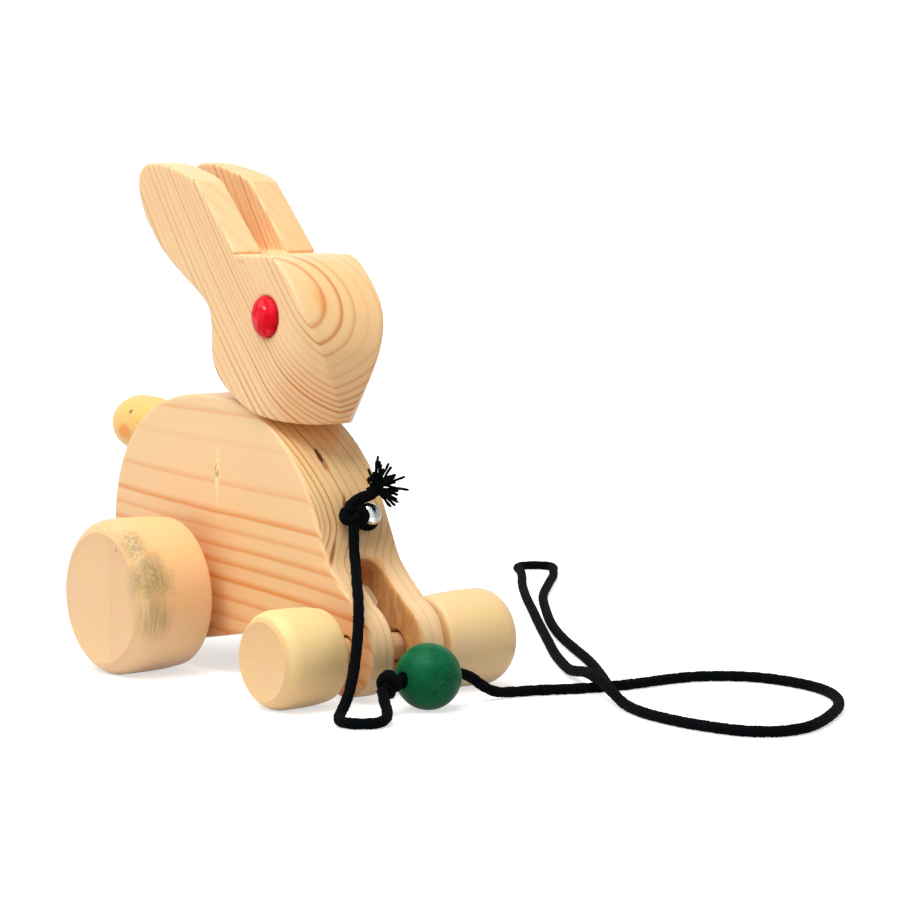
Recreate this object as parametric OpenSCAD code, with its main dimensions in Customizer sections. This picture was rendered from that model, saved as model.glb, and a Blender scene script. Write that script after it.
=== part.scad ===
// Wooden rabbit pull toy: a domed body on two wheel sets, a head with two ears,
// and a braided pull cord tied to a screw in the chest.
// The toy looks along +X, its left side is +Y, and the floor is at z = 0.

/* [Body] */
// Thickness of the body board
body_t = 25; // [22:0.5:28]
// Height of the back above the floor
back_h = 79; // [77:0.5:83]
// Radius of the arch behind the front legs
arch_r = 10.5; // [8:0.5:11]
// Slant of the arch, in degrees, rising to the toy's left
arch_tilt = 16; // [0:1:18]
// Width of the gap between the front legs
leg_gap = 9; // [6:0.5:11]

/* [Head] */
// Thickness of the head block
head_t = 28; // [26:0.5:32]
// Width of the saw cut between the ears
ear_gap = 8.8; // [6:0.2:11]
// Radius that rounds the outer corner of the left ear's tip
left_ear_round = 6; // [1:0.5:9]
// Radius that rounds the outer corner of the right ear's tip
right_ear_round = 1.5; // [1:0.5:9]
// Radius of the cheeks where they close towards the chin
cheek_r = 24.5; // [23:0.5:30]
// Diameter of the peg between body and head
neck_d = 9; // [6:0.5:11]
// Diameter of an eye stone
eye_d = 12; // [8:0.5:14]
// How far an eye stone stands out of the cheek
eye_h = 2.6; // [1.5:0.1:4]

/* [Tail] */
// Length of the turned tail outside its tenon
tail_l = 27.5; // [24:0.5:32]
// Largest diameter of the tail
tail_d = 17; // [14:0.5:18]

/* [Wheels] */
// Distance between the two axles
wheelbase = 76.5; // [70:0.5:80]
// Diameter of a front wheel
front_d = 27; // [25:0.5:28]
// Width of the right front wheel
right_front_w = 20; // [18:0.5:24]
// Width of the left front wheel
left_front_w = 24; // [18:0.5:26]
// Diameter of a rear wheel
rear_d = 44.5; // [40:0.5:50]
// Width of a rear wheel
rear_w = 24.5; // [18:0.5:26]
// Gap between the body and the right front wheel
right_front_gap = 7.2; // [2:0.2:8]
// Gap between the body and the left front wheel
left_front_gap = 2.6; // [2:0.2:8]
// Gap between the body and a rear wheel
rear_gap = 5.5; // [2:0.5:8]
// Diameter of the axle dowels
axle_d = 7.5; // [5:0.25:8]
// Radial play of an axle in its bore
axle_play = 0.8; // [0.3:0.1:1]

/* [Cord] */
// Diameter of the braided cord
cord_d = 3; // [2.4:0.1:3.2]
// Diameter of the bead on the cord
bead_d = 18; // [16:0.5:18]
// Bore through the bead
bead_bore = 4; // [3.8:0.1:5]
// Diameter of the chest screw's head
screw_head_d = 6.5; // [5.5:0.1:7.5]

/* [Hidden] */
$fn = 64;
big = 200;

// Axles, and the round feet about the front one
front_x = 59.5;
front_z = front_d / 2;
rear_x = front_x - wheelbase;
rear_z = rear_d / 2;
foot_r = front_d / 2 - 0.4;
foot_at = [front_x - 0.3, front_z + 0.4];
foot_blend = 58;
foot_sink = 0.6;
wheel_bore_l = 13;
axle_end_gap = 0.4;
inner_edge = 1.5;
drum_taper = 0.8;
dish = 0.5;
dish_rim = 1.5;
rear_shoulder = [3.6, 4.5];
front_shoulder = [2.8, 4.5];

// Corner and turning points of the body's side view, in x and z
rump_low = [-40, 9];
rump_back = [-57.3, 37];
back_rear = [-19, back_h - 0.2];
back_front = [2, back_h];
chest_top = [44, 52.5];
chest_low = [51, 38.5];
belly_front = [30, 16];
belly_mid = [-10, 8.8];
arch_at = [42.6, 17];
slot_from = 32;
slot_top = 37;
shoulder_a = [20, back_h - 0.6];
shoulder_b = [37, 66.5];

// The head sits where the shoulder passes the neck
neck_t = 0.28;
neck_at = curve(back_front, shoulder_a, shoulder_b, chest_top, neck_t);
neck_l = 32;
seat_gap = 0.3;
head_at = [neck_at[0], neck_at[1] + seat_gap];

// Turning points of the head's side view and the handles of the curves between them, from the neck seat
brow_z = 43.7;
ear_top_z = 69;
brow_back = [-6.3, brow_z];
brow_front = [10.3, brow_z];
nose = [29.6, 17.7];
chin = [24.2, -2.6];
nape = [-19, 15.7];
crown = [-21.3, 29.4];
ear_back = [-49.2, 49.1];
ear_tip = [-56.5, 62.9];
ear_top = [-49.4, ear_top_z];
ear_corner = [-34, ear_top_z - 2.5];
ear_front = [-25.8, ear_top_z - 5.4];
brow_bend = [[16.3, brow_z - 1.5], [27.8, 30.7]];
nose_bend = [[29.7, 8.7], [28.5, -0.6]];
jaw_bend = [[17.3, -3.3], [8.3, -2.1]];
throat_bend = [[-8.7, 3.2], [-18.2, 8.2]];
nape_bend = [[-19, 20.7], [-18.2, 26.2]];
ear_back_bend = [[-25.7, 33.7], [-41.7, 39.7]];
ear_tip_bend = [[-52.7, 52.2], [-56.2, 57.7]];
ear_top_bend = [[-56.7, 66.7], [-53.7, ear_top_z]];
ear_flat_bend = [[-45, ear_top_z + 0.1], [-39, ear_top_z - 1.1]];
ear_corner_bend = [[-31, ear_top_z - 3.2], [-28.4, ear_top_z - 4]];

// Cheeks, kerf at the ears' foot and eyes
cheek_at = [23.8, 33.7];
cheek_lean = 33.4;
kerf_h = 0.8;
kerf_l = 1.6;
eye_at = [8.5, 26.8];
eye_seat = 0.8;

// Tail, behind the rump
tail_at = [-43.7, back_h - 12];
tenon_d = 8;
tenon_l = 16;

// Chest screw, square to the chest
screw_at = [46.6, 3, 47.3];
screw_lean = atan2(chest_low[0] - chest_top[0], chest_top[1] - chest_low[1]);
screw_d = 3;
screw_l = 17;
screw_stand = 4.4;
screw_head_h = 2.3;

// Knots, frayed end and bead
cord_r = cord_d / 2;
knot_r = 3.5;
knot_half = 1.5;
knot_side = -6.4;
knot_out = 3.9;
fray_from = [47.4, 4.1, 52.6];
fray_to = [55.5, 8.2, 61.8];
fray_r = 3.6;
bead_at = [84, -2.5, bead_d / 2];
bead_knot_r = 3.9;
bead_knot_gap = 0.3;
bead_knot_drop = 0.6;
bead_knot_at = bead_at - [0, bead_d / 2 + bead_knot_gap + bead_knot_r, bead_knot_drop];

// Route of the cord from the chest knot to the knot beside the bead
drop_route = [
    [52, -3.6, 45], [53.6, -4.7, 40.5], [56.8, -6.5, 36.2], [61.8, -9.8, 32.4], [67.6, -13.6, 28.4],
    [72, -16.8, 24], [76, -20.2, 18.9], [79.4, -23.5, 13.8], [82.1, -26.6, 9.3], [84.1, -29.6, 5.6],
    [85.9, -32.6, 3.1], [88.4, -35.3, 1.8], [91.9, -36.6, 1.6], [95.5, -35.7, 1.6], [97.9, -32.8, 1.6],
    [98.1, -29, 1.6], [96.2, -25.6, 2.2], [92.9, -23, 3.4], [88.9, -20.9, 5.1], [85.2, -18.8, 7]
];

// Route of the cord from the knot through the bead and over the floor to its cut end
pull_route = [
    [84, -13, 8.7], [84, -8, 9], [84, -2, 9], [84, 4, 9], [83.9, 9, 8.6], [83.6, 13, 6.8],
    [83.2, 17, 4.2], [83, 21.5, 2.2], [83.4, 27, 1.6], [85, 33, 1.6], [88, 39.5, 1.6],
    [91.2, 47, 1.6], [93.2, 55, 1.6], [94, 65, 1.6], [94, 75, 1.6], [95.5, 83.5, 1.6],
    [100, 91, 1.6], [107.5, 96.5, 1.6], [117, 98.5, 1.6], [128, 98, 1.6], [138, 94.5, 1.6],
    [147, 88.5, 1.6], [155, 80.5, 1.6], [162, 71, 1.6], [168, 61, 1.6], [171.5, 52, 1.6],
    [171, 43.5, 1.6], [166, 37.5, 1.6], [158, 34.5, 1.6], [148, 33, 1.6], [138, 33, 1.6],
    [128, 34.5, 1.6], [118, 37.5, 2], [109, 41, 3.5], [100, 45, 4.8], [92, 48.5, 5],
    [84, 52.5, 4.6], [75, 57, 3.2], [66, 62, 2], [42, 77, 1.6], [19, 93, 1.6], [-6, 110.5, 1.6],
    [-32, 129, 1.6], [-58, 147.5, 1.6], [-82, 165.5, 1.6], [-100, 180, 1.6], [-109.5, 187, 1.6],
    [-115.8, 191, 1.6], [-118.2, 195.3, 1.6], [-116.9, 199.8, 1.6], [-112.8, 202.2, 1.6],
    [-108.2, 201, 1.6], [-101.5, 195.5, 1.6], [-93, 188.5, 1.6], [-76.5, 172.6, 1.6],
    [-54.5, 152, 1.6], [-29.5, 132.5, 1.6], [-3.5, 113.5, 1.6], [19, 99, 1.6], [39, 87.5, 1.6],
    [56.5, 77.5, 1.6], [73, 67, 1.6], [89, 56.2, 1.6]
];

pine = "BurlyWood";
beech = "Wheat";
cord_black = "DimGray";

// A point at t on the cubic curve with ends a, d and handles b, c
function curve(a, b, c, d, t) =
    a * pow(1 - t, 3) + b * 3 * t * pow(1 - t, 2) + c * 3 * t * t * (1 - t) + d * pow(t, 3);

// The curve as points, without its last one
function stretch(a, b, c, d, n = 12) = [for (i = [0 : n - 1]) curve(a, b, c, d, i / n)];

function unit(v) = v / norm(v);

// Direction of a route at its point i
function heading(route, i) =
    unit(route[min(i + 1, len(route) - 1)] - route[max(i - 1, 0)]);

// Ring of points round a route's point, with its first spoke square to the given direction
function ring(route, i, r, square_to, n) =
    let (ahead = heading(route, i))
    let (side = unit(cross(ahead, square_to)))
    let (up = cross(side, ahead))
    [for (k = [0 : n - 1]) route[i] + r * (cos(360 * k / n) * side + sin(360 * k / n) * up)];

// Round tube along a route
module tube(route, r, square_to, n = 8) {
    last = len(route) - 1;
    points = [for (i = [0 : last]) each ring(route, i, r, square_to, n)];
    walls = [
        for (i = [0 : last - 1], k = [0 : n - 1])
        [i * n + k, (i + 1) * n + k, (i + 1) * n + (k + 1) % n, i * n + (k + 1) % n]
    ];
    start = [for (k = [0 : n - 1]) k];
    end = [for (k = [n - 1 : -1 : 0]) last * n + k];
    polyhedron(points, concat([start], walls, [end]));
}

// A side view, drawn in x and z, as a board of the given thickness about y = 0
module board(thickness) {
    rotate([90, 0, 0])
        linear_extrude(thickness, center = true)
            children();
}

// Moves children to the chest screw, with +Z along it and +Y to the toy's left
module at_screw() {
    translate(screw_at)
        rotate([0, 90 - screw_lean, 0])
            children();
}

// Outline of the body above its round feet, seen from the side
module body_side() {
    foot_top = foot_at + (foot_r - foot_sink) * [cos(foot_blend), sin(foot_blend)];
    polygon(concat(
        stretch(rump_low, [-51, rump_low[1]], [rump_back[0], 24], rump_back),
        stretch(rump_back, [rump_back[0], 57.5], [-45.5, back_h - 3.8], back_rear),
        stretch(back_rear, [-11, back_h + 0.3], [-5, back_h + 0.2], back_front, 4),
        stretch(back_front, shoulder_a, shoulder_b, chest_top, 16),
        [chest_top],
        stretch(chest_low, [53, 34], [60, 30], foot_top),
        [foot_top, foot_at, [foot_at[0], belly_front[1]], belly_front],
        stretch(belly_mid, [-20, 7], [-30, rump_low[1]], rump_low, 6)
    ));
}

// Space of the arch, open downwards and cut on a slant
module arch() {
    translate([arch_at[0], 0, arch_at[1]])
        rotate([90 + arch_tilt, 0, 0]) {
            cylinder(r = arch_r, h = 2 * body_t, center = true);
            translate([-arch_r, -big, -body_t]) cube([2 * arch_r, big, 2 * body_t]);
        }
}

// Outline of the head seen from its side, from the neck seat
module head_side() {
    polygon(concat(
        [brow_back],
        stretch(brow_front, brow_bend[0], brow_bend[1], nose, 16),
        stretch(nose, nose_bend[0], nose_bend[1], chin, 10),
        stretch(chin, jaw_bend[0], jaw_bend[1], [0, 0]),
        stretch([0, 0], throat_bend[0], throat_bend[1], nape),
        stretch(nape, nape_bend[0], nape_bend[1], crown, 6),
        stretch(crown, ear_back_bend[0], ear_back_bend[1], ear_back),
        stretch(ear_back, ear_tip_bend[0], ear_tip_bend[1], ear_tip, 6),
        stretch(ear_tip, ear_top_bend[0], ear_top_bend[1], ear_top, 8),
        stretch(ear_top, ear_flat_bend[0], ear_flat_bend[1], ear_corner, 3),
        stretch(ear_corner, ear_corner_bend[0], ear_corner_bend[1], ear_front, 6),
        [ear_front]
    ));
}

// What the cheeks leave of the block: flat sides that close in two arcs towards the chin
module cheeks() {
    half = head_t / 2;
    centre_y = cheek_r - half;
    translate([cheek_at[0], 0, cheek_at[1]])
        rotate([0, cheek_lean, 0])
            linear_extrude(big, center = true) {
                translate([-big / 2, -half]) square([big / 2 + 0.01, head_t]);
                intersection() {
                    translate([0, centre_y]) circle(cheek_r);
                    translate([0, -centre_y]) circle(cheek_r);
                    translate([0, -half]) square([big / 2, head_t]);
                }
            }
}

// What the rounded ear tips leave of the block, seen from the front
module ear_tips() {
    half = head_t / 2;
    top = ear_top_z + 0.5;
    left_at = [half - left_ear_round, top - left_ear_round];
    right_at = [right_ear_round - half, top - right_ear_round];
    rotate([90, 0, 90])
        linear_extrude(big, center = true)
            polygon(concat(
                [[-half, -big / 4], [half, -big / 4]],
                [for (a = [0 : 7.5 : 90]) left_at + left_ear_round * [cos(a), sin(a)]],
                [for (a = [90 : 15 : 180]) right_at + right_ear_round * [cos(a), sin(a)]]
            ));
}

// Egg-shaped turned tail with its tenon, pointing backwards
module tail_form() {
    translate([tail_at[0], 0, tail_at[1]])
        rotate([0, -90, 0]) {
            rotate_extrude()
                polygon(concat(
                    [[0, 0], [tenon_d / 2 + 0.8, 0]],
                    stretch([tenon_d / 2 + 1.4, 0.6], [tail_d / 2, 5], [tail_d / 2, 9],
                        [tail_d / 2, tail_l * 0.6], 8),
                    stretch([tail_d / 2, tail_l * 0.6], [tail_d / 2, tail_l * 0.86],
                        [tail_d * 0.3, tail_l], [0, tail_l], 12),
                    [[0, tail_l]]
                ));
            translate([0, 0, -tenon_l]) cylinder(d = tenon_d, h = tenon_l);
        }
}

// Domed screw with a plain shank, from its point to its head
module screw_form() {
    at_screw() {
        translate([0, 0, -screw_l]) cylinder(d = screw_d, h = screw_l + screw_stand + 0.01);
        translate([0, 0, screw_stand])
            rotate_extrude()
                polygon(concat(
                    [[0, 0]],
                    stretch([screw_head_d / 2, 0], [screw_head_d / 2, screw_head_h * 0.7],
                        [screw_head_d * 0.3, screw_head_h], [0, screw_head_h], 8),
                    [[0, screw_head_h]]
                ));
    }
}

// Cord wound once round the screw, with the knot beside it
module knot_form() {
    at_screw() {
        translate([0, 0, cord_r + 0.5])
            rotate_extrude()
                translate([screw_d / 2 + cord_r, 0]) circle(cord_r, $fn = 24);
        translate([0, knot_side, knot_out])
            rotate([0, 90, 0]) {
                cylinder(r = knot_r, h = 2 * knot_half, center = true);
                for (end = [-1, 1])
                    translate([0, 0, end * knot_half]) sphere(knot_r);
            }
        translate([0, knot_side / 2, cord_r + 0.6])
            rotate([90, 0, 0]) cylinder(r = cord_r, h = 5, center = true);
    }
}

// Drum wheel standing on its inner face, with a rounded outer shoulder and a blind bore
module wheel(d, w, shoulder_r, shoulder_w) {
    flat_r = d / 2 - shoulder_r;
    rotate_extrude()
        polygon(concat(
            [[axle_d / 2, 0], [d / 2 - inner_edge - drum_taper, 0]],
            [[d / 2 - drum_taper, inner_edge], [d / 2, w / 2]],
            [for (a = [0 : 10 : 90]) [flat_r + shoulder_r * cos(a), w - shoulder_w * (1 - sin(a))]],
            [[flat_r - dish_rim, w], [0, w - dish], [0, wheel_bore_l], [axle_d / 2, wheel_bore_l]]
        ));
}

module right_wheel_at(x, z, gap) {
    translate([x, -body_t / 2 - gap, z])
        rotate([90, 0, 0])
            children();
}

module left_wheel_at(x, z, gap) {
    translate([x, body_t / 2 + gap, z])
        rotate([-90, 0, 0])
            children();
}

module axle(x, z, right_gap, left_gap) {
    reach = body_t + right_gap + left_gap + 2 * (wheel_bore_l - axle_end_gap);
    translate([x, (left_gap - right_gap) / 2, z])
        rotate([90, 0, 0])
            cylinder(d = axle_d, h = reach, center = true);
}

module axle_bore(x, z) {
    translate([x, 0, z])
        rotate([90, 0, 0])
            cylinder(r = axle_d / 2 + axle_play, h = body_t + 2, center = true);
}

module neck_bar() {
    translate([neck_at[0], 0, neck_at[1] - neck_l / 2])
        cylinder(d = neck_d, h = neck_l);
}

// Seated eye stone on the toy's right cheek: a straight girdle, a crown and a flat table
module eye_stone() {
    translate([head_at[0] + eye_at[0], -head_t / 2 + eye_seat, head_at[1] + eye_at[1]])
        rotate([90, 0, 0]) {
            cylinder(d = eye_d, h = eye_seat + 0.6);
            translate([0, 0, eye_seat + 0.6])
                cylinder(d1 = eye_d, d2 = eye_d * 0.55, h = eye_h - 0.6);
        }
}

module body() {
    color(pine)
        difference() {
            union() {
                difference() {
                    board(body_t) body_side();
                    arch();
                }
                translate([foot_at[0], 0, foot_at[1]])
                    rotate([90, 0, 0]) cylinder(r = foot_r, h = body_t, center = true);
            }
            axle_bore(front_x, front_z);
            axle_bore(rear_x, rear_z);
            translate([slot_from, -leg_gap / 2, -1]) cube([big, leg_gap, slot_top - leg_gap / 2 + 1]);
            translate([slot_from, 0, slot_top - leg_gap / 2])
                rotate([0, 90, 0]) cylinder(d = leg_gap, h = big);
            neck_bar();
            tail_form();
            screw_form();
        }
}

module head() {
    color(pine)
        difference() {
            translate([head_at[0], 0, head_at[1]])
                difference() {
                    intersection() {
                        board(head_t) head_side();
                        cheeks();
                        ear_tips();
                    }
                    translate([-big / 2, -ear_gap / 2, brow_z]) cube([big, ear_gap, big]);
                    translate([brow_back[0] - kerf_l, -head_t, brow_z - kerf_h / 2])
                        cube([kerf_l + 0.2, 2 * head_t, kerf_h]);
                }
            neck_bar();
            eye_stone();
            mirror([0, 1, 0]) eye_stone();
        }
}

module neck_peg() {
    color(beech) neck_bar();
}

module right_eye() {
    color("Crimson") eye_stone();
}

module left_eye() {
    color("Crimson") mirror([0, 1, 0]) eye_stone();
}

module tail() {
    color("Khaki") tail_form();
}

module rear_axle() {
    color(beech) axle(rear_x, rear_z, rear_gap, rear_gap);
}

module front_axle() {
    color(beech) axle(front_x, front_z, right_front_gap, left_front_gap);
}

module rear_wheel() {
    color(beech) wheel(rear_d, rear_w, rear_shoulder[0], rear_shoulder[1]);
}

module front_wheel(w) {
    color(beech) wheel(front_d, w, front_shoulder[0], front_shoulder[1]);
}

module right_rear_wheel() {
    right_wheel_at(rear_x, rear_z, rear_gap) rear_wheel();
}

module left_rear_wheel() {
    left_wheel_at(rear_x, rear_z, rear_gap) rear_wheel();
}

module right_front_wheel() {
    right_wheel_at(front_x, front_z, right_front_gap) front_wheel(right_front_w);
}

module left_front_wheel() {
    left_wheel_at(front_x, front_z, left_front_gap) front_wheel(left_front_w);
}

module chest_screw() {
    color("Silver") screw_form();
}

module chest_knot() {
    color(cord_black)
        difference() {
            knot_form();
            screw_form();
        }
}

module frayed_end() {
    along = fray_to - fray_from;
    color(cord_black)
        difference() {
            translate(fray_from)
                rotate([0, acos(along[2] / norm(along)), atan2(along[1], along[0])])
                    cylinder(r1 = cord_r, r2 = fray_r, h = norm(along));
            knot_form();
            screw_form();
        }
}

module drop_cord() {
    color(cord_black) tube(drop_route, cord_r, [1, 0, 0]);
}

module bead_knot() {
    color(cord_black) translate(bead_knot_at) sphere(bead_knot_r);
}

module bead() {
    color("SeaGreen")
        translate(bead_at)
            difference() {
                sphere(d = bead_d);
                rotate([90, 0, 0]) cylinder(d = bead_bore, h = bead_d + 2, center = true);
            }
}

module pull_cord() {
    color(cord_black) tube(pull_route, cord_r, [0, 0, 1]);
}

body();
head();
neck_peg();
right_eye();
left_eye();
tail();
rear_axle();
right_rear_wheel();
left_rear_wheel();
front_axle();
right_front_wheel();
left_front_wheel();
chest_screw();
chest_knot();
frayed_end();
drop_cord();
bead_knot();
bead();
pull_cord();
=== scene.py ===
import math

import bpy
import numpy as np
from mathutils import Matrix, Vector


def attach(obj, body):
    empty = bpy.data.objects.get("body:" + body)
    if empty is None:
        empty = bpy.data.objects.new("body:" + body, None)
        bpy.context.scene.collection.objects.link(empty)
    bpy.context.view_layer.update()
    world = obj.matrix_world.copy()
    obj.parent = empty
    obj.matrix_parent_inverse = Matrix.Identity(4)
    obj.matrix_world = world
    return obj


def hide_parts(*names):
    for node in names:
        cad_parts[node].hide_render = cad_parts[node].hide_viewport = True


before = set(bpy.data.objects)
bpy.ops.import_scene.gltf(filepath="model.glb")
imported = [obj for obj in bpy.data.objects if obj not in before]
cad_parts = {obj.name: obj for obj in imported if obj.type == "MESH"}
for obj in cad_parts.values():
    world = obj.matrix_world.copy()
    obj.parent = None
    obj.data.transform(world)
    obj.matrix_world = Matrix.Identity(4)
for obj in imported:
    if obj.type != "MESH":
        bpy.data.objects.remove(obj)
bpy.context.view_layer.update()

bl_info = {
    "name": "Wooden rabbit pull toy",
    "version": (1, 0, 0),
    "blender": (4, 5, 0),
    "location": "View3D > Sidebar > Pull Toy",
    "description": "Dresses the solids of a varnished pine rabbit on wheels with its looks",
    "category": "Object",
}

# Route of the cord from the chest knot to the knot beside the bead
DROP_ROUTE = (
    (0.052, -0.0036, 0.045), (0.0536, -0.0047, 0.0405), (0.0568, -0.0065, 0.0362), (0.0618, -0.0098, 0.0324),
    (0.0676, -0.0136, 0.0284), (0.072, -0.0168, 0.024), (0.076, -0.0202, 0.0189), (0.0794, -0.0235, 0.0138),
    (0.0821, -0.0266, 0.0093), (0.0841, -0.0296, 0.0056), (0.0859, -0.0326, 0.0031), (0.0884, -0.0353, 0.0018),
    (0.0919, -0.0366, 0.0016), (0.0955, -0.0357, 0.0016), (0.0979, -0.0328, 0.0016), (0.0981, -0.029, 0.0016),
    (0.0962, -0.0256, 0.0022), (0.0929, -0.023, 0.0034), (0.0889, -0.0209, 0.0051), (0.0852, -0.0188, 0.007),
)

# Route of the cord from that knot through the bead and over the floor to its cut end
PULL_ROUTE = (
    (0.084, -0.013, 0.0087), (0.084, -0.008, 0.009), (0.084, -0.002, 0.009), (0.084, 0.004, 0.009),
    (0.0839, 0.009, 0.0086), (0.0836, 0.013, 0.0068), (0.0832, 0.017, 0.0042), (0.083, 0.0215, 0.0022),
    (0.0834, 0.027, 0.0016), (0.085, 0.033, 0.0016), (0.088, 0.0395, 0.0016), (0.0912, 0.047, 0.0016),
    (0.0932, 0.055, 0.0016), (0.094, 0.065, 0.0016), (0.094, 0.075, 0.0016), (0.0955, 0.0835, 0.0016),
    (0.1, 0.091, 0.0016), (0.1075, 0.0965, 0.0016), (0.117, 0.0985, 0.0016), (0.128, 0.098, 0.0016),
    (0.138, 0.0945, 0.0016), (0.147, 0.0885, 0.0016), (0.155, 0.0805, 0.0016), (0.162, 0.071, 0.0016),
    (0.168, 0.061, 0.0016), (0.1715, 0.052, 0.0016), (0.171, 0.0435, 0.0016), (0.166, 0.0375, 0.0016),
    (0.158, 0.0345, 0.0016), (0.148, 0.033, 0.0016), (0.138, 0.033, 0.0016), (0.128, 0.0345, 0.0016),
    (0.118, 0.0375, 0.002), (0.109, 0.041, 0.0035), (0.1, 0.045, 0.0048), (0.092, 0.0485, 0.005),
    (0.084, 0.0525, 0.0046), (0.075, 0.057, 0.0032), (0.066, 0.062, 0.002), (0.042, 0.077, 0.0016),
    (0.019, 0.093, 0.0016), (-0.006, 0.1105, 0.0016), (-0.032, 0.129, 0.0016), (-0.058, 0.1475, 0.0016),
    (-0.082, 0.1655, 0.0016), (-0.1, 0.18, 0.0016), (-0.1095, 0.187, 0.0016), (-0.1158, 0.191, 0.0016),
    (-0.1182, 0.1953, 0.0016), (-0.1169, 0.1998, 0.0016), (-0.1128, 0.2022, 0.0016), (-0.1082, 0.201, 0.0016),
    (-0.1015, 0.1955, 0.0016), (-0.093, 0.1885, 0.0016), (-0.0765, 0.1726, 0.0016), (-0.0545, 0.152, 0.0016),
    (-0.0295, 0.1325, 0.0016), (-0.0035, 0.1135, 0.0016), (0.019, 0.099, 0.0016), (0.039, 0.0875, 0.0016),
    (0.0565, 0.0775, 0.0016), (0.073, 0.067, 0.0016), (0.089, 0.0562, 0.0016),
)

# Places shared with the solids; those of the axles are (x, z)
FRONT_AXLE = (0.0595, 0.0135)
REAR_AXLE = (-0.017, 0.02225)
AXLE_R = 0.00375
TAIL_ROOT = (-0.0437, 0.0, 0.067)
SCREW_SEAT = (0.0466, 0.003, 0.0473)
SCREW_AXIS = (0.8944, 0.0, 0.4472)
EYE_MIDDLE = (0.02519, 0.014, 0.10314)
BEAD_KNOT_MIDDLE = (0.084, -0.0157, 0.0084)
BEAD_MIDDLE = (0.084, -0.0025, 0.009)

# Places of the finished pieces alone; the crown of the arch is (x, z), and is lowered all round within its reach
ARCH_CROWN = (0.0430, 0.0245)
CROWN_REACH = 0.009
CROWN_DROP = 0.0014
CHEST_KNOT_MIDDLE = (0.0502, -0.0020, 0.0496)
TUFT_MIDDLE = (0.0513, 0.0054, 0.0564)

# Wheel sets: body, axle, diameter, fall of the shoulder from drum to face, and the wood's colour
REAR_SET = ("rear_wheel_set", REAR_AXLE, 0.0445, 0.0036, "rear_pale")
FRONT_SET = ("front_wheel_set", FRONT_AXLE, 0.027, 0.0028, "turned_pale")

# Tones of the wheels: the face low and high, then the drum low and high
REAR_TONES = ((1.0, 1.02, 1.1), (0.985, 0.96, 1.0), (1.0, 1.04, 1.2), (1.0, 0.95, 0.94))
# The right front drum's high tone, lighter and yellower, is partly painted light on its top
RIGHT_FRONT_TONES = ((0.97, 0.96, 1.02), (0.94, 0.83, 0.78), (1.0, 0.98, 1.0), (1.03, 1.1, 1.02))
LEFT_FRONT_TONES = ((0.98, 0.96, 1.0), (0.98, 0.96, 1.0), (1.02, 1.06, 1.24), (1.0, 1.02, 1.05))

# Wheels: node, set, side, distance of the inner face from the middle, width, and tones
WHEELS = (
    ("right_rear_wheel", REAR_SET, -1.0, 0.018, 0.0245, REAR_TONES),
    ("left_rear_wheel", REAR_SET, 1.0, 0.018, 0.0245, REAR_TONES),
    ("right_front_wheel", FRONT_SET, -1.0, 0.0197, 0.02, RIGHT_FRONT_TONES),
    ("left_front_wheel", FRONT_SET, 1.0, 0.0151, 0.024, LEFT_FRONT_TONES),
)

# Dark rings of the body's pine: place along its sheets of growth, and strength
BODY_RINGS = (
    (-0.001, 0.5), (0.0035, 0.6), (0.008, 0.7), (0.0125, 0.75), (0.017, 0.55), (0.0219, 0.7), (0.0272, 1.0),
    (0.032, 0.8), (0.0365, 0.75), (0.0413, 0.5), (0.0461, 0.95), (0.0545, 0.45), (0.0665, 0.14), (0.0747, 0.45),
    (0.0837, 0.7), (0.0903, 0.35), (0.0955, 0.9), (0.1051, 0.7), (0.1173, 0.65), (0.1259, 0.65), (0.135, 0.7),
    (0.144, 0.5), (0.153, 0.8), (0.163, 0.6),
)

# Dark lines of the body's narrow faces: place across them, and strength
EDGE_RINGS = (
    (-0.0130, 0.4), (-0.0112, 0.6), (-0.0096, 0.5), (-0.0078, 0.9), (-0.0057, 0.95), (-0.0032, 0.3), (-0.0006, 0.9),
    (0.0025, 0.5), (0.0058, 0.4), (0.0097, 0.65), (0.0122, 0.4), (0.0150, 0.5), (0.0180, 0.5), (0.0210, 0.4),
)

# Dark rings of the head's pine: distance from the tree's heart, and strength
HEAD_RINGS = (
    (0.0196, 0.0), (0.0219, 0.8), (0.0241, 1.0), (0.0261, 0.5), (0.0285, 0.16), (0.0309, 0.2), (0.0331, 0.4),
    (0.0349, 0.4), (0.0366, 0.5), (0.0381, 0.55), (0.0396, 1.0), (0.0414, 0.35), (0.0431, 0.45), (0.0444, 0.45),
    (0.0461, 0.35), (0.0479, 0.85), (0.0494, 0.25), (0.0519, 0.5), (0.0541, 0.7), (0.0564, 0.8), (0.0588, 0.2),
    (0.0611, 0.3), (0.0636, 0.9), (0.0659, 0.4), (0.0684, 0.7), (0.0712, 0.5), (0.0738, 0.6), (0.0765, 0.4),
)

# Where the right side's broad face ends, on body and head, and how far its lines take to change there
BODY_SIDE = -0.0122
HEAD_SIDE = -0.0137
SIDE_FADE = 0.0007

# Widths of a dark line before and behind its place
BODY_WIDTHS = (0.0009, 0.002)
EDGE_WIDTHS = (0.0003, 0.0007)
HEAD_WIDTHS = (0.0007, 0.0004)

# Sheets of growth in the body: the terms of their lean along x, its fall above a level, and their dip across the board
SHEET_LEAN = (4.87, -0.222, 0.0414)
SHEET_FALL, SHEET_LEVEL = -1.186, 0.045
SHEET_DIP, BOARD_HALF = 3.3, 0.0125

# Heart of the head's tree, its turn about y, and how its shells bow, slant and flatten
HEAD_HEART = (0.05113, -0.01897, 0.12561)
HEAD_TURN = math.radians(137.8)
HEAD_BOW, HEAD_SLANT, HEAD_FLAT = 0.663, -0.1916, 0.783

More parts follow.
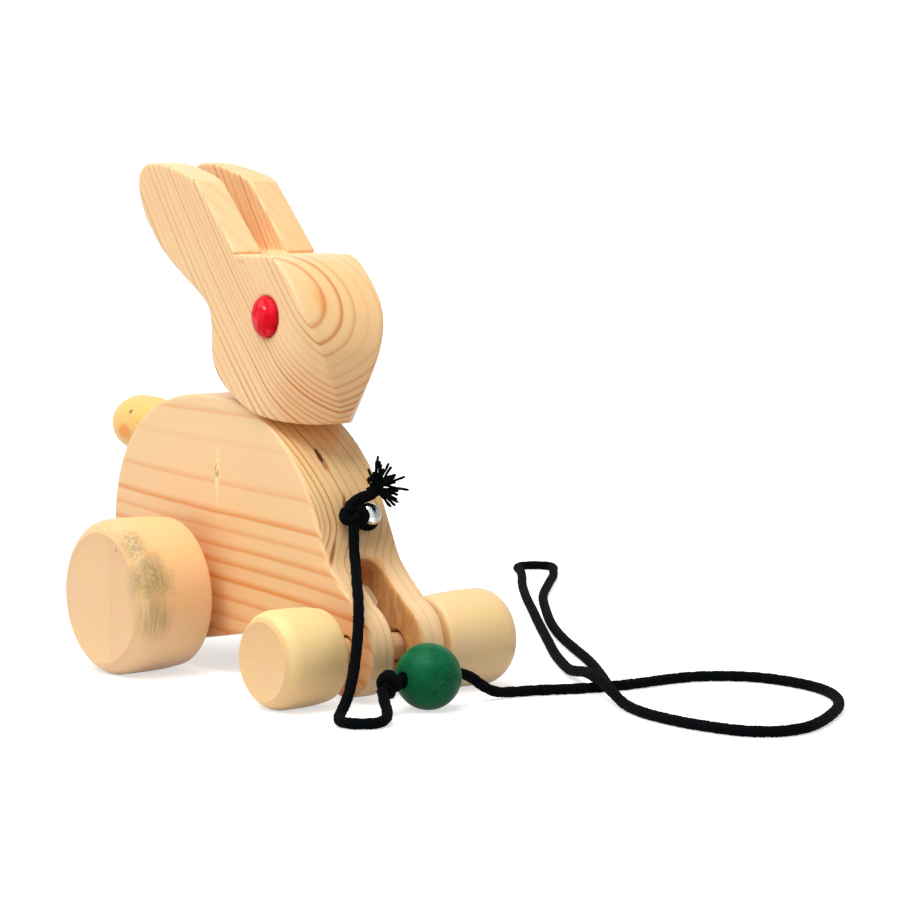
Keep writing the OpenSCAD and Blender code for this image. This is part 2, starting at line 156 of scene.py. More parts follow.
# Tones that multiply the wood, each within places on the axes: from where it starts to where it is full
BODY_SHADE_AND_TONES = (
    # Darker and warmer toward the bottom of the right side: partly painted shade, partly the wood's own tone
    ((0.9538, 0.835, 0.7393), ("Z", 0.05, 0.016), ("Y", -0.0118, -0.0124)),
    ((1.0, 1.03, 1.07), ("Z", 0.052, 0.068)),
)
HEAD_TONES = (
    ((0.98, 0.94, 0.97), ("Y", HEAD_SIDE, -0.012), ("Z", 0.096, 0.083)),
    ((1.0, 0.9, 0.82), ("Y", 0.0046, 0.005), ("Z", 0.1195, 0.121)),
    ((1.0, 0.965, 0.89), ("Y", -0.0135, -0.011), ("Z", 0.1195, 0.118)),
)

# Turns of a pattern: none, and a tree's length laid across the toy or along it
UNTURNED = (0.0, 0.0, 0.0)
ACROSS = (math.radians(90.0), 0.0, 0.0)
ALONG = (0.0, math.radians(90.0), 0.0)

# Spots: colour, strength, then middle, radii, turn, share of the radius that fades, and raggedness
SCAR_TURN = (0.0, 0.03, 0.0)
SAP_SCAR = ((1.0, 0.79, 0.38), 0.95, (-0.0017, -0.0125, 0.0572), (0.0014, 0.003, 0.0098), SCAR_TURN, 0.5, 0.9)
RESIN_TURN = (0.0, -0.79, 0.0)
RESIN_GLINT_AND_STREAKS = (
    ((0.58, 0.16, 0.022), 0.85, (0.0372, -0.0027, 0.0622), (0.0018, 0.0013, 0.0034), RESIN_TURN, 0.7, 0.4),
    ((0.13, 0.028, 0.005), 1.0, (0.0350, -0.0030, 0.0644), (0.0013, 0.0010, 0.0040), RESIN_TURN, 0.45, 0.5),
    # A painted highlight: a pale glint at the slit's lower end
    ((0.95, 0.66, 0.38), 0.8, (0.0367, -0.0028, 0.0627), (0.0009, 0.00022, 0.0009), RESIN_TURN, 0.5),
    ((0.36, 0.10, 0.02), 0.9, (0.0508, -0.0098, 0.0392), (0.0014, 0.0008, 0.0060), (-0.5236, -0.512, 0.0), 0.7, 0.5),
    ((0.36, 0.10, 0.02), 0.95, (0.0446, -0.0013, 0.0516), (0.0014, 0.0008, 0.0048), (-0.292, -0.468, 0.0), 0.7, 0.5),
)
TICK = ((0.0012, 0.0004, 0.0005), (0.0, 0.9, 0.0), 0.5)
SPLIT_AND_TICKS = (
    ((0.55, 0.27, 0.09), 0.5, (0.0132, -0.0138, 0.1182), (0.0024, 0.003, 0.00032), (0.0, 0.3, 0.0), 0.6, 0.6),
    ((0.25, 0.11, 0.04), 1.0, (0.0312, 0.0125, 0.1167), *TICK),
    ((0.25, 0.11, 0.04), 1.0, (0.0325, 0.0138, 0.1155), *TICK),
)
TAIL_SPOTS = (
    ((0.98, 0.37, 0.06), 0.95, (-0.0578, -0.0083, 0.0651), (0.0042, 0.004, 0.0032), UNTURNED, 0.6, 0.6),
    ((0.24, 0.14, 0.05), 0.85, (-0.0557, -0.0074, 0.0712), (0.0011, 0.0015, 0.0009), UNTURNED, 0.5),
)
WHEEL_SPECK = ((0.22, 0.17, 0.12), 0.8, (-0.0086, -0.0425, 0.0368), (0.0005, 0.002, 0.0006), UNTURNED, 0.6)
# Painted reflection: a dark grey patch on the screw's dome for the dim surroundings it mirrors
SCREW_PAINTED_REFLECTION = ((0.27, 0.28, 0.285), 0.85, (0.0527, 0.0046, 0.0494), (0.0032, 0.0026, 0.0032), UNTURNED, 0.35)

# Painted light on an eye stone, lighter facets and a highlight, in shares of its radius: middle, radii, where they are
# full, strength, colour
EYE_PAINTED_HIGHLIGHTS = (
    ((0.34, 0.5), (0.2, 0.12), 0.75, 0.3, (0.95, 0.16, 0.2)),
    ((0.1, 0.62), (0.17, 0.2), 0.75, 0.3, (0.95, 0.16, 0.2)),
    ((-0.3, -0.35), (0.3, 0.34), 0.75, 0.3, (0.95, 0.16, 0.2)),
    ((0.42, 0.44), (0.16, 0.05), 0.3, 0.8, (0.98, 0.55, 0.58)),
)

# Camera: place, bearing and height, both in degrees. Lamps: place, aim and width
CAMERA_PLACE = (0.75513, -0.51854, 0.15109)
CAMERA_AROUND, CAMERA_ABOVE = 52.05, 5.48
OVERHEAD = ((0.1, -0.38, 1.12), (0.0, 0.0, 0.05), 1.1)
RIGHT_SIDE = ((0.35, -1.0, 0.6), (0.0, 0.0, 0.06), 0.5)


def property_kind(make, **fixed):
    """A kind of property, which then takes a name, a description and a default."""
    def kind(name, description, default, **more):
        return make(name=name, description=description, default=default, **fixed, **more)
    return kind


colour = property_kind(bpy.props.FloatVectorProperty, subtype="COLOR", size=3, min=0.0, max=1.0)
length = property_kind(bpy.props.FloatProperty, unit="LENGTH", subtype="DISTANCE", min=0.0, precision=5)
share = property_kind(bpy.props.FloatProperty, subtype="FACTOR", min=0.0, max=1.0)
whole = property_kind(bpy.props.IntProperty, subtype="UNSIGNED")
power = property_kind(bpy.props.FloatProperty, unit="POWER", min=0.0)
plain = property_kind(bpy.props.FloatProperty, min=0.0)
focus = property_kind(bpy.props.FloatProperty, unit="CAMERA", min=1.0)


class PullToyWood(bpy.types.PropertyGroup):
    """Carved and turned wood."""

    pine_pale: colour("Pale pine", "Spring wood of body and head", (0.975, 0.66, 0.352))
    pine_line: colour("Pine line", "Summer wood on the body's broad faces", (0.84, 0.32, 0.075))
    pine_edge_line: colour("Pine edge line", "Summer wood on the body's narrow faces", (0.50, 0.165, 0.036))
    pine_thin_line: colour("Pine thin line", "Summer wood on the head's cheeks", (0.64, 0.26, 0.085))
    pine_front_line: colour("Pine front line", "Summer wood on the head's front", (0.70, 0.26, 0.085))
    turned_pale: colour("Pale turned wood", "Front wheels", (0.97, 0.675, 0.34))
    rear_pale: colour("Rear wheel wood", "Rear wheels", (0.955, 0.635, 0.335))
    turned_line: colour("Turned wood line", "Faint lines of the wheels", (0.78, 0.45, 0.19))
    tail_pale: colour("Tail", "Yellow wood of the tail", (0.98, 0.63, 0.2))
    tail_line: colour("Tail line", "Lines of the tail", (0.80, 0.42, 0.10))
    dowel: colour("Dowel", "Axles and neck peg", (0.80, 0.50, 0.25))
    body_cell: length("Body grain of carving", "Cell size of the body's carved surface", 0.00056)
    head_cell: length("Head grain of carving", "Cell size of the head's carved surface", 0.00046)
    body_sanding: whole("Body sanding", "Passes that round the body's edges", 9, min=0, max=60)
    head_sanding: whole("Head sanding", "Passes that round the head's edges", 6, min=0, max=60)
    gloss: share("Varnish", "Strength of the varnish coat", 0.12)


class PullToyFittings(bpy.types.PropertyGroup):
    """Eyes, screw and bead."""

    eye_red: colour("Eye red", "Eye stones", (0.90, 0.004, 0.017))
    eye_d: length("Eye diameter", "Diameter of an eye stone", 0.012)
    eye_h: length("Eye height", "How far a stone stands out of the cheek", 0.0026)
    steel: colour("Screw steel", "Chest screw", (0.72, 0.73, 0.74))
    screw_head_d: length("Screw head", "Diameter of the screw head", 0.0065)
    bead_green: colour("Bead green", "Paint of the bead", (0.004, 0.12, 0.044))
    bead_d: length("Bead diameter", "Diameter of the bead", 0.018)
    bead_bore: length("Bead bore", "Bore of the bead", 0.004)


class PullToyCord(bpy.types.PropertyGroup):
    """Braided cotton cord."""

    black: colour("Cord black", "Dyed cotton", (0.002, 0.0027, 0.0034))
    diameter: length("Cord diameter", "Diameter of the cord", 0.003)
    braid: share("Braid relief", "Depth of the braid as a share of the radius", 0.12)
    strands: whole("Frayed strands", "Strands of the frayed end", 72, min=6, max=90)


class PullToyStage(bpy.types.PropertyGroup):
    """Floor, light and camera."""

    floor: colour("Floor", "Pale studio floor", (0.72, 0.72, 0.72))
    key: power("Key light", "Power of the overhead light", 15.1)
    side: power("Side light", "Power of the light on the right side", 0.6)
    room: plain("Room light", "Strength of the even light", 0.33)
    lens: focus("Lens", "Focal length in millimetres", 128.0)


GROUPS = {
    "pulltoy_wood": PullToyWood,
    "pulltoy_fittings": PullToyFittings,
    "pulltoy_cord": PullToyCord,
    "pulltoy_stage": PullToyStage,
}


# Work at the bench

def clear_selection():
    if bpy.context.object and bpy.context.object.mode != "OBJECT":
        bpy.ops.object.mode_set(mode="OBJECT")
    bpy.ops.object.select_all(action="DESELECT")


def take(piece):
    clear_selection()
    piece.select_set(True)
    bpy.context.view_layer.objects.active = piece


def edit_all(piece):
    take(piece)
    bpy.ops.object.mode_set(mode="EDIT")
    bpy.ops.mesh.select_all(action="SELECT")


def leave_edit():
    bpy.ops.object.mode_set(mode="OBJECT")


def apply_modifier(piece, kind, **settings):
    take(piece)
    modifier = piece.modifiers.new(kind.title(), kind)
    for key, value in settings.items():
        setattr(modifier, key, value)
    bpy.ops.object.modifier_apply(modifier=modifier.name)


def named(piece, name):
    piece.name = name
    piece.data.name = name
    return piece


def settle(piece, name):
    """Puts a new piece's place into its mesh and leaves its object at the origin."""
    take(piece)
    bpy.ops.object.transform_apply(location=True, rotation=True, scale=True)
    return named(piece, name)


def merge_and_turn_out(piece, distance=1e-6):
    edit_all(piece)
    bpy.ops.mesh.remove_doubles(threshold=distance)
    bpy.ops.mesh.select_all(action="SELECT")
    bpy.ops.mesh.normals_make_consistent(inside=False)
    leave_edit()


def smooth_shade(piece, angle=None):
    take(piece)
    if angle is None:
        bpy.ops.object.shade_smooth()
    else:
        bpy.ops.object.shade_smooth_by_angle(angle=math.radians(angle))


def new_piece(name, mesh):
    piece = bpy.data.objects.new(name, mesh)
    bpy.context.scene.collection.objects.link(piece)
    return named(piece, name)


def carved(node, name, cell):
    """A copy of a node's solid, cut anew in even cells."""
    piece = new_piece(name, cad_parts[node].data.copy())
    piece.data.materials.clear()
    edit_all(piece)
    bpy.ops.mesh.remove_doubles(threshold=1e-7)
    leave_edit()
    apply_modifier(piece, "REMESH", mode="VOXEL", voxel_size=cell)
    return piece


def sand(piece, passes):
    apply_modifier(piece, "SMOOTH", factor=0.5, iterations=passes)
    smooth_shade(piece)


def join(pieces, name):
    take(pieces[0])
    for piece in pieces:
        piece.select_set(True)
    bpy.ops.object.join()
    return named(pieces[0], name)


def turned(name, profile, start, axis, crease, steps=96):
    """A piece turned on a lathe. The profile holds (place along the axis, radius) from end to end."""
    axis = Vector(axis).normalized()
    across = axis.orthogonal().normalized()
    start = Vector(start)
    points = [start + axis * along + across * radius for along, radius in profile]
    clear_selection()
    bpy.ops.mesh.primitive_plane_add(size=0.001, location=(0.0, 0.0, 0.0))
    piece = bpy.context.object
    edit_all(piece)
    bpy.ops.mesh.merge(type="CENTER")
    bpy.ops.transform.translate(value=points[0])
    for before, after in zip(points, points[1:]):
        bpy.ops.mesh.extrude_region_move(TRANSFORM_OT_translate={"value": after - before})
    bpy.ops.mesh.select_all(action="SELECT")
    bpy.ops.mesh.spin(steps=steps, angle=2.0 * math.pi, center=start, axis=axis)
    leave_edit()
    merge_and_turn_out(piece)
    settle(piece, name)
    smooth_shade(piece, crease)
    return piece


def arc(middle, radii, first, last, steps):
    """Points of an elliptic arc, as (along, radius)."""
    turns = [math.radians(first + (last - first) * i / steps) for i in range(steps + 1)]
    return [(middle[0] + radii[0] * math.sin(a), middle[1] + radii[1] * math.cos(a)) for a in turns]


# Cord

def distances(line):
    """How far along the line each of its points lies."""
    return np.concatenate([[0.0], np.cumsum(np.linalg.norm(np.diff(line, axis=0), axis=1))])


def along_route(route, step):
    """A smooth line through the route's points, with its points a step apart."""
    pts = np.array(route, float)
    ext = np.vstack([2 * pts[0] - pts[1], pts, 2 * pts[-1] - pts[-2]])
    line = []
    for i in range(1, len(ext) - 2):
        a, b, c, d = ext[i - 1 : i + 3]
        ab, bc, cd = (max(np.linalg.norm(q - p), 1e-9) ** 0.5 for p, q in ((a, b), (b, c), (c, d)))
        m1 = (c - b) + bc * ((b - a) / ab - (c - a) / (ab + bc))
        m2 = (c - b) + bc * ((d - c) / cd - (d - b) / (bc + cd))
        for t in np.linspace(0.0, 1.0, 40, endpoint=False):
            line.append(
                (2 * t**3 - 3 * t**2 + 1) * b + (t**3 - 2 * t**2 + t) * m1
                + (3 * t**2 - 2 * t**3) * c + (t**3 - t**2) * m2)
    line.append(ext[-2])
    line = np.array(line)
    far = distances(line)
    even = np.linspace(0.0, far[-1], max(int(round(far[-1] / step)), 4) + 1)
    return np.column_stack([np.interp(even, far, line[:, k]) for k in range(3)]), even


def spokes_along(line, closed):
    """Two directions square to the line at each of its points, without twist."""
    heading = np.gradient(line, axis=0)
    if closed:
        heading = np.roll(line, -1, axis=0) - np.roll(line, 1, axis=0)
    heading /= np.linalg.norm(heading, axis=1)[:, None]
    side = np.cross(heading[0], (0.0, 0.0, 1.0) if abs(heading[0][2]) < 0.9 else (1.0, 0.0, 0.0))
    sides = []
    for ahead in heading:
        side = side - ahead * np.dot(side, ahead)
        side /= np.linalg.norm(side)
        sides.append(side)
    sides = np.array(sides)
    ups = np.cross(heading, sides)
    if closed:
        first, last = sides[0], sides[-1]
        slip = math.atan2(np.dot(np.cross(last, first), heading[0]), np.dot(last, first))
        turn = slip * np.linspace(0.0, 1.0, len(line))[:, None]
        sides, ups = np.cos(turn) * sides + np.sin(turn) * ups, np.cos(turn) * ups - np.sin(turn) * sides
    return sides, ups


def cord_mesh(name, line, far, radius, relief, rng, around=20, closed=False, taper=None):
    """A braided tube along a line: strands cross in two hands, and the surface is a little fuzzy."""
    lay_length, strands, fuzziness, longest_fuzz = 3.4, 4, 0.035, 0.06
    sides, ups = spokes_along(line, closed)
    angle = np.arange(around) * 2.0 * math.pi / around
    lay = far[:, None] * 2.0 * math.pi / (radius * lay_length)
    one_hand = 0.5 + 0.5 * np.cos(strands * angle[None, :] + lay)
    other_hand = 0.5 + 0.5 * np.cos(strands * angle[None, :] - lay)
    ridge = np.maximum(one_hand, other_hand) ** 0.8
    fuzz = rng.normal(0.0, fuzziness, ridge.shape)
    reach = radius * (1.0 - relief + relief * ridge + np.clip(fuzz, -longest_fuzz, longest_fuzz))
    if taper is not None:
        reach = reach * taper[:, None]
    rings = line[:, None, :] + reach[:, :, None] * (
        np.cos(angle)[None, :, None] * sides[:, None, :] + np.sin(angle)[None, :, None] * ups[:, None, :])
    here = np.arange(len(line) * around).reshape(-1, around)
    beside, ahead = np.roll(here, -1, axis=1), np.roll(here, -1, axis=0)
    faces = np.stack([here, beside, np.roll(beside, -1, axis=0), ahead], axis=2)
    if closed:
        faces = faces.reshape(-1, 4).tolist()
    else:
        faces = faces[:-1].reshape(-1, 4).tolist() + [here[0, ::-1].tolist(), here[-1].tolist()]
    mesh = bpy.data.meshes.new(name)
    mesh.from_pydata(rings.reshape(-1, 3).tolist(), [], faces)
    piece = new_piece(name, mesh)
    merge_and_turn_out(piece, 1e-8)
    smooth_shade(piece)
    return piece


def knot_line(middle, square_to, size, steps, lean):
    """The closed line of a pulled-tight overhand knot, lying square to a direction."""
    thickness = 1.3
    n = Vector(square_to).normalized()
    u = n.orthogonal().normalized()
    v = n.cross(u)
    u, v = math.cos(lean) * u + math.sin(lean) * v, math.cos(lean) * v - math.sin(lean) * u
    line = []
    for i in range(steps):
        t = 2.0 * math.pi * i / steps
        r = 2.0 + math.cos(3.0 * t)
        p = u * (r * math.cos(2.0 * t)) + v * (r * math.sin(2.0 * t)) + n * (thickness * math.sin(3.0 * t))
        line.append(Vector(middle) + p * size)
    line = np.array(line)
    return line, distances(line)


# Finishes

class Nodes:
    """Lays out the nodes of a tree."""

    def __init__(self, tree):
        self.tree = tree
        self.tree.nodes.clear()
        self.count = 0

    def add(self, kind, settings=None, sockets=None):
        node = self.tree.nodes.new("ShaderNode" + kind)
        node.location = (220 * (self.count // 6), -220 * (self.count % 6))
        self.count += 1
        for key, value in (settings or {}).items():
            setattr(node, key, value)
        for key, value in (sockets or {}).items():
            if isinstance(value, bpy.types.NodeSocket):
                self.tree.links.new(value, node.inputs[key])
            else:
                node.inputs[key].default_value = value
        return node

    def out(self, kind, settings=None, sockets=None):
        return self.add(kind, settings, sockets).outputs[0]

    def math(self, operation, a, b=0.0, c=0.0, clamp=False):
        settings = {"operation": operation, "use_clamp": clamp}
        return self.out("Math", settings, {0: a, 1: b, 2: c})

    def seen(self):
        """1 for the camera's own rays, and for those that it sends on by gloss or glass."""
        rays = self.add("LightPath").outputs
        most = self.math("MAXIMUM", rays["Is Camera Ray"], rays["Is Glossy Ray"])
        return self.math("MAXIMUM", most, rays["Is Transmission Ray"])


class Finish(Nodes):
    """A finish, with its patterns laid on the piece's own coordinates."""

    def __init__(self, name):
        self.material = bpy.data.materials.new(name)
        self.material.use_nodes = True
        super().__init__(self.material.node_tree)
        self.place = self.add("TexCoord").outputs["Object"]

    def axes(self, source=None):
        return self.add("SeparateXYZ", None, {0: source or self.place}).outputs

    def turn(self, location, rotation=UNTURNED, scale=(1.0, 1.0, 1.0), source=None):
        """Coordinates with the pattern's own origin, turn and size."""
        sockets = {"Vector": source or self.place, "Location": location, "Rotation": rotation, "Scale": scale}
        return self.out("Mapping", {"vector_type": "TEXTURE"}, sockets)

    def stretch(self, source, scale):
        return self.out("VectorMath", {"operation": "MULTIPLY"}, {0: source, 1: scale})

    def reach(self, source):
        return self.add("VectorMath", {"operation": "LENGTH"}, {0: source}).outputs["Value"]

    def noise(self, source, scale, detail=2.0, roughness=0.5):
        """Noise with one scale, or with a scale for each axis."""
        if isinstance(scale, tuple):
            source, scale = self.stretch(source, scale), 1.0
        sockets = {"Vector": source, "Scale": scale, "Detail": detail, "Roughness": roughness}
        return self.out("TexNoise", None, sockets)

    def span(self, value, low, high, out_low=0.0, out_high=1.0, smooth=False):
        settings = {"interpolation_type": "SMOOTHSTEP" if smooth else "LINEAR", "clamp": True}
        return self.out("MapRange", settings, {0: value, 1: low, 2: high, 3: out_low, 4: out_high})

    def curve(self, value, points):
        """A bent line through points, each from 0 to 1 both ways."""
        node = self.add("FloatCurve", None, {"Value": value})
        line = node.mapping.curves[0]
        line.points[0].location = points[0]
        line.points[1].location = points[-1]
        for place, level in points[1:-1]:
            line.points.new(place, level)
        for point in line.points:
            point.handle_type = "VECTOR"
        node.mapping.update()
        return node.outputs[0]

    def times(self, first, *others):
        for other in others:
            first = self.math("MULTIPLY", first, other)
        return first

    def plus(self, a, b, c):
        """a times b, plus c"""
        return self.math("MULTIPLY_ADD", a, b, c)

    def sway(self, place, noise, reach):
        """The place moved to and fro by a noise."""
        return self.plus(self.math("SUBTRACT", noise, 0.5), reach, place)

    def within(self, *ranges):
        """1 where each axis is past its range, 0 before it."""
        axes = self.axes()
        return self.times(*(self.span(axes[axis], low, high) for axis, low, high in ranges))

    def blend(self, factor, a, b, kind="MIX"):
        def rgba(c):
            return c if isinstance(c, bpy.types.NodeSocket) else (*c[:3], 1.0)
        settings = {"data_type": "RGBA", "blend_type": kind}
        return self.add("Mix", settings, {0: factor, 6: rgba(a), 7: rgba(b)}).outputs[2]

    def tint(self, base, tone, factor=1.0):
        return self.blend(factor, base, tone, "MULTIPLY")

    def spot(self, middle, radii, rotation=UNTURNED, edge=0.4, ragged=0.0):
        """1 inside an egg-shaped spot, falling to 0 at its rim."""
        at = self.turn(middle, rotation, radii)
        far = self.reach(at)
        if ragged:
            far = self.sway(far, self.noise(at, 2.5, 3.0), ragged)
        return self.span(far, 1.0, 1.0 - edge, smooth=True)

    def dab(self, base, colour, strength, *spot):
        return self.blend(self.times(self.spot(*spot), strength), base, colour)

    def close(self, base, roughness, height, depth, sockets):
        bump = self.out("Bump", None, {"Height": height, "Strength": 1.0, "Distance": depth})
        values = {"Base Color": base, "Roughness": roughness, "Normal": bump, **sockets}
        if "Coat Weight" in sockets:
            values["Coat Normal"] = bump
        shader = self.out("BsdfPrincipled", None, values)
        self.add("OutputMaterial", {"target": "ALL"}, {0: shader})
        return self.material

    def varnish(self, base, roughness, height, depth, coat, coat_roughness):
        gloss = bpy.context.scene.pulltoy_wood.gloss
        sockets = {"Coat Weight": coat * gloss, "Coat Roughness": coat_roughness, "Specular IOR Level": 0.25}
        return self.close(base, roughness, height, depth, sockets)


def fibres(f, grain):
    return f.noise(grain, (1500.0, 1500.0, 26.0), 2.0)


def growth_rings(f, grain, ring, strengths, seed):
    """Summer wood round a tree's heart, in rings of chance: 0 in spring wood, up to 1 on a dark line."""
    one_way = {"noise_dimensions": "1D"}
    slow = f.noise(grain, (24.0, 24.0, 6.0))
    quick = f.noise(grain, (210.0, 210.0, 16.8))
    far = f.reach(f.stretch(grain, (1.0, 1.0, 0.0)))
    far = f.sway(f.sway(far, slow, 0.002), quick, 0.16 * ring)
    year = f.plus(far, 1.0 / ring, seed)
    pace = f.out("TexNoise", one_way, {"W": year, "Scale": 0.41, "Detail": 1.0})
    year = f.sway(year, pace, 1.5)
    luck = f.out("TexWhiteNoise", one_way, {"W": f.math("FLOOR", year)})
    late = f.curve(
        f.math("FRACT", year),
        ((0.0, 0.12), (0.05, 0.0), (0.45, 0.03), (0.74, 0.3), (0.9, 0.9), (0.965, 1.0), (1.0, 0.15)))
    return f.times(late, f.span(luck, 0.0, 1.0, *strengths))


def body_sheets(f):
    """Place along the body's sheets of growth, which lie almost in its side, and the fibres' coordinates."""
    x, y, z = f.axes()
    slope = f.plus(f.plus(x, SHEET_LEAN[0], SHEET_LEAN[1]), x, SHEET_LEAN[2])
    slope = f.plus(f.math("SUBTRACT", z, SHEET_LEVEL), SHEET_FALL, slope)
    place = f.plus(f.math("ADD", y, BOARD_HALF), SHEET_DIP, f.plus(slope, x, z))
    return place, f.turn(UNTURNED, (0.0, math.radians(92.0), 0.0))


def body_edges(f):
    """Place across the body's narrow faces, whose lines run along them and lean to the right low on the chest."""
    x, y, z = f.axes()
    rise = f.plus(f.span(z, 0.052, 0.082, 0.0, 0.03), 0.2, y)
    drop = f.span(z, 0.0482, 0.034, 0.0, 0.007, smooth=True)
    return f.plus(drop, f.span(x, 0.02, 0.035), rise)


def head_shells(f):
    """Distance from the heart of the head's tree, which lies outside it, and the fibres' coordinates."""
    grain = f.turn(HEAD_HEART, (0.0, HEAD_TURN, 0.0))
    x, y, z = f.axes(grain)
    out = f.plus(f.times(z, z), HEAD_BOW, x)
    across = f.times(f.plus(z, HEAD_SLANT, y), HEAD_FLAT)
    return f.reach(f.out("CombineXYZ", None, {0: out, 1: across})), grain


def head_strength(f):
    """Share of the head's lines: few on the ears' front faces, strong toward the chin."""
    y, z = f.axes()[1:]
    beside_cut = f.span(f.math("ABSOLUTE", y), 0.0046, 0.005)
    ear_fronts = f.times(f.within(("Y", HEAD_SIDE, -0.0131), ("Z", 0.1195, 0.121)), beside_cut)
    cheek = f.span(y, HEAD_SIDE, -0.0125, 0.72, 1.0)
    chin = f.span(z, 0.098, 0.084, 0.0, 0.75)
    return f.times(f.math("ADD", cheek, chin), f.span(ear_fronts, 0.0, 1.0, 1.0, 0.22))


def ring_lines(f, place, rings, rise, fall):
    """Summer wood: 0 in spring wood, up to a ring's own strength on its line."""
    low, high, last = rings[0][0], rings[-1][0], len(rings) - 1
    turns = [((at - low) / (high - low), i / last) for i, (at, level) in enumerate(rings)]
    year = f.curve(f.span(place, low, high), turns)
    nearest = f.math("DIVIDE", f.math("ROUND", f.times(year, last)), last)
    line = f.curve(nearest, [(turn, at) for at, turn in turns])
    past = f.math("SUBTRACT", place, f.plus(line, high - low, low))
    strength = f.curve(nearest, [(i / last, level) for i, (at, level) in enumerate(rings)])
    late = f.times(f.span(past, -rise, 0.0, smooth=True), f.span(past, fall, 0.0, smooth=True))
    core = f.span(f.math("ABSOLUTE", past), 0.5 * min(rise, fall), 0.0, smooth=True)
    return f.times(f.plus(core, 0.22, f.times(late, 0.78)), strength)


def pine_finish(name, sheets, rings, widths, wander, side, lines, marks, strength=None, edges=None):
    """Pine with dark lines in the given rings, in one colour on the broad faces and one on the narrow ones."""
    f = Finish(name)
    place, grain = sheets(f)
    slow = f.noise(grain, (36.0, 36.0, 10.8))
    quick = f.noise(grain, (330.0, 330.0, 39.6))
    place = f.sway(f.sway(place, slow, wander), quick, 0.45 * wander)
    late = ring_lines(f, place, rings, *widths)
    narrow = f.within(("Y", side, side + SIDE_FADE), ("Y", -side, -side - SIDE_FADE))
    if edges:
        on_edge = ring_lines(f, f.sway(edges(f), slow, wander), EDGE_RINGS, *EDGE_WIDTHS)
        legs = f.within(("Z", 0.041, 0.032), ("X", 0.035, 0.045))
        on_edge = f.times(on_edge, f.span(legs, 0.0, 1.0, 1.0, 0.4))
        late = f.plus(f.math("SUBTRACT", on_edge, late), narrow, late)
    if strength:
        late = f.math("MULTIPLY", late, strength(f), clamp=True)
    fibre = fibres(f, grain)
    pale = bpy.context.scene.pulltoy_wood.pine_pale
    cloud = f.noise(grain, (38.0, 38.0, 11.4), 3.0)
    base = f.blend(f.span(cloud, 0.3, 0.7), pale, (pale[0], pale[1] * 0.95, pale[2] * 0.9))
    base = f.blend(late, base, f.blend(narrow, *lines))
    base = marks(f, f.tint(base, f.span(fibre, 0.3, 0.7, 0.97, 1.0)))
    height = f.plus(late, 0.5, f.times(fibre, 0.5))
    return f.varnish(base, f.span(fibre, 0.2, 0.8, 0.34, 0.46), height, 0.00006, 1.0, 0.22)


def body_marks(f, base):
    """Tones and painted shade (low on the right side and on the low chest), sap scar on the side, resin slit with a
    painted glint and dark streaks on the front, sawn faces between the legs.
    """
    for tone, *where in BODY_SHADE_AND_TONES:
        base = f.tint(base, tone, f.within(*where))
    # Low on the chest the wood is darkened as painted shadow below the knot; higher up it is yellowed
    tone = f.blend(f.within(("Z", 0.047, 0.056)), (0.86, 0.82, 0.75), (1.0, 1.0, 0.88))
    base = f.tint(base, tone, f.within(("Y", BODY_SIDE, -0.0112), ("Z", 0.030, 0.040)))
    base = f.dab(base, *SAP_SCAR)
    specks = f.span(f.noise(f.place, (900.0, 200.0, 330.0)), 0.56, 0.66)
    near = f.spot((-0.0020, -0.0125, 0.0565), (0.0012, 0.003, 0.0075), SCAR_TURN)
    base = f.blend(f.times(specks, near, 0.75), base, (0.30, 0.13, 0.035))
    for spot in RESIN_GLINT_AND_STREAKS:
        base = f.dab(base, *spot)
    between = f.span(f.math("ABSOLUTE", f.axes()[1]), 0.0056, 0.0047)
    sawn = f.times(between, f.spot((0.058, 0.0, 0.012), (0.032, 0.02, 0.0275), edge=0.08))
    tear = f.noise(f.place, (420.0, 420.0, 160.0), 4.0, 0.65)
    brown = f.blend(f.span(tear, 0.35, 0.7), (0.86, 0.42, 0.12), (0.48, 0.19, 0.045))
    brown = f.blend(f.span(tear, 0.33, 0.27, 0.0, 0.7), brown, (0.97, 0.74, 0.38))
    return f.blend(f.times(sawn, 0.85), base, brown)


def head_marks(f, base):
    """Tones of chin, left ear and front, the brown heart on the brow, a split beside the saw cut, two ticks."""
    for tone, *where in HEAD_TONES:
        base = f.tint(base, tone, f.within(*where))
    heart = f.spot((0.0402, -0.0062, 0.1078), (0.0055, 0.0036, 0.0085), edge=0.9)
    base = f.tint(base, (0.98, 0.78, 0.55), heart)
    for spot in SPLIT_AND_TICKS:
        base = f.dab(base, *spot)
    return base


def turned_finish(name, heart, turn, ring, seed, pale, line, strengths, marks=None):
    """Plain turned wood with faint rings of growth."""
    f = Finish(name)
    grain = f.turn(heart, turn)
    late = growth_rings(f, grain, ring, strengths, seed)
    fibre = fibres(f, grain)
    cloud = f.noise(grain, (55.0, 55.0, 22.0), 3.0)
    base = f.blend(f.span(cloud, 0.3, 0.75), pale, (pale[0], pale[1] * 0.93, pale[2] * 0.88))
    base = f.blend(late, base, line)
    base = f.tint(base, f.span(fibre, 0.3, 0.7, 0.975, 1.0))
    if marks:
        base = marks(f, base)
    return f.varnish(base, f.span(fibre, 0.2, 0.8, 0.36, 0.5), fibre, 0.00004, 0.8, 0.25)


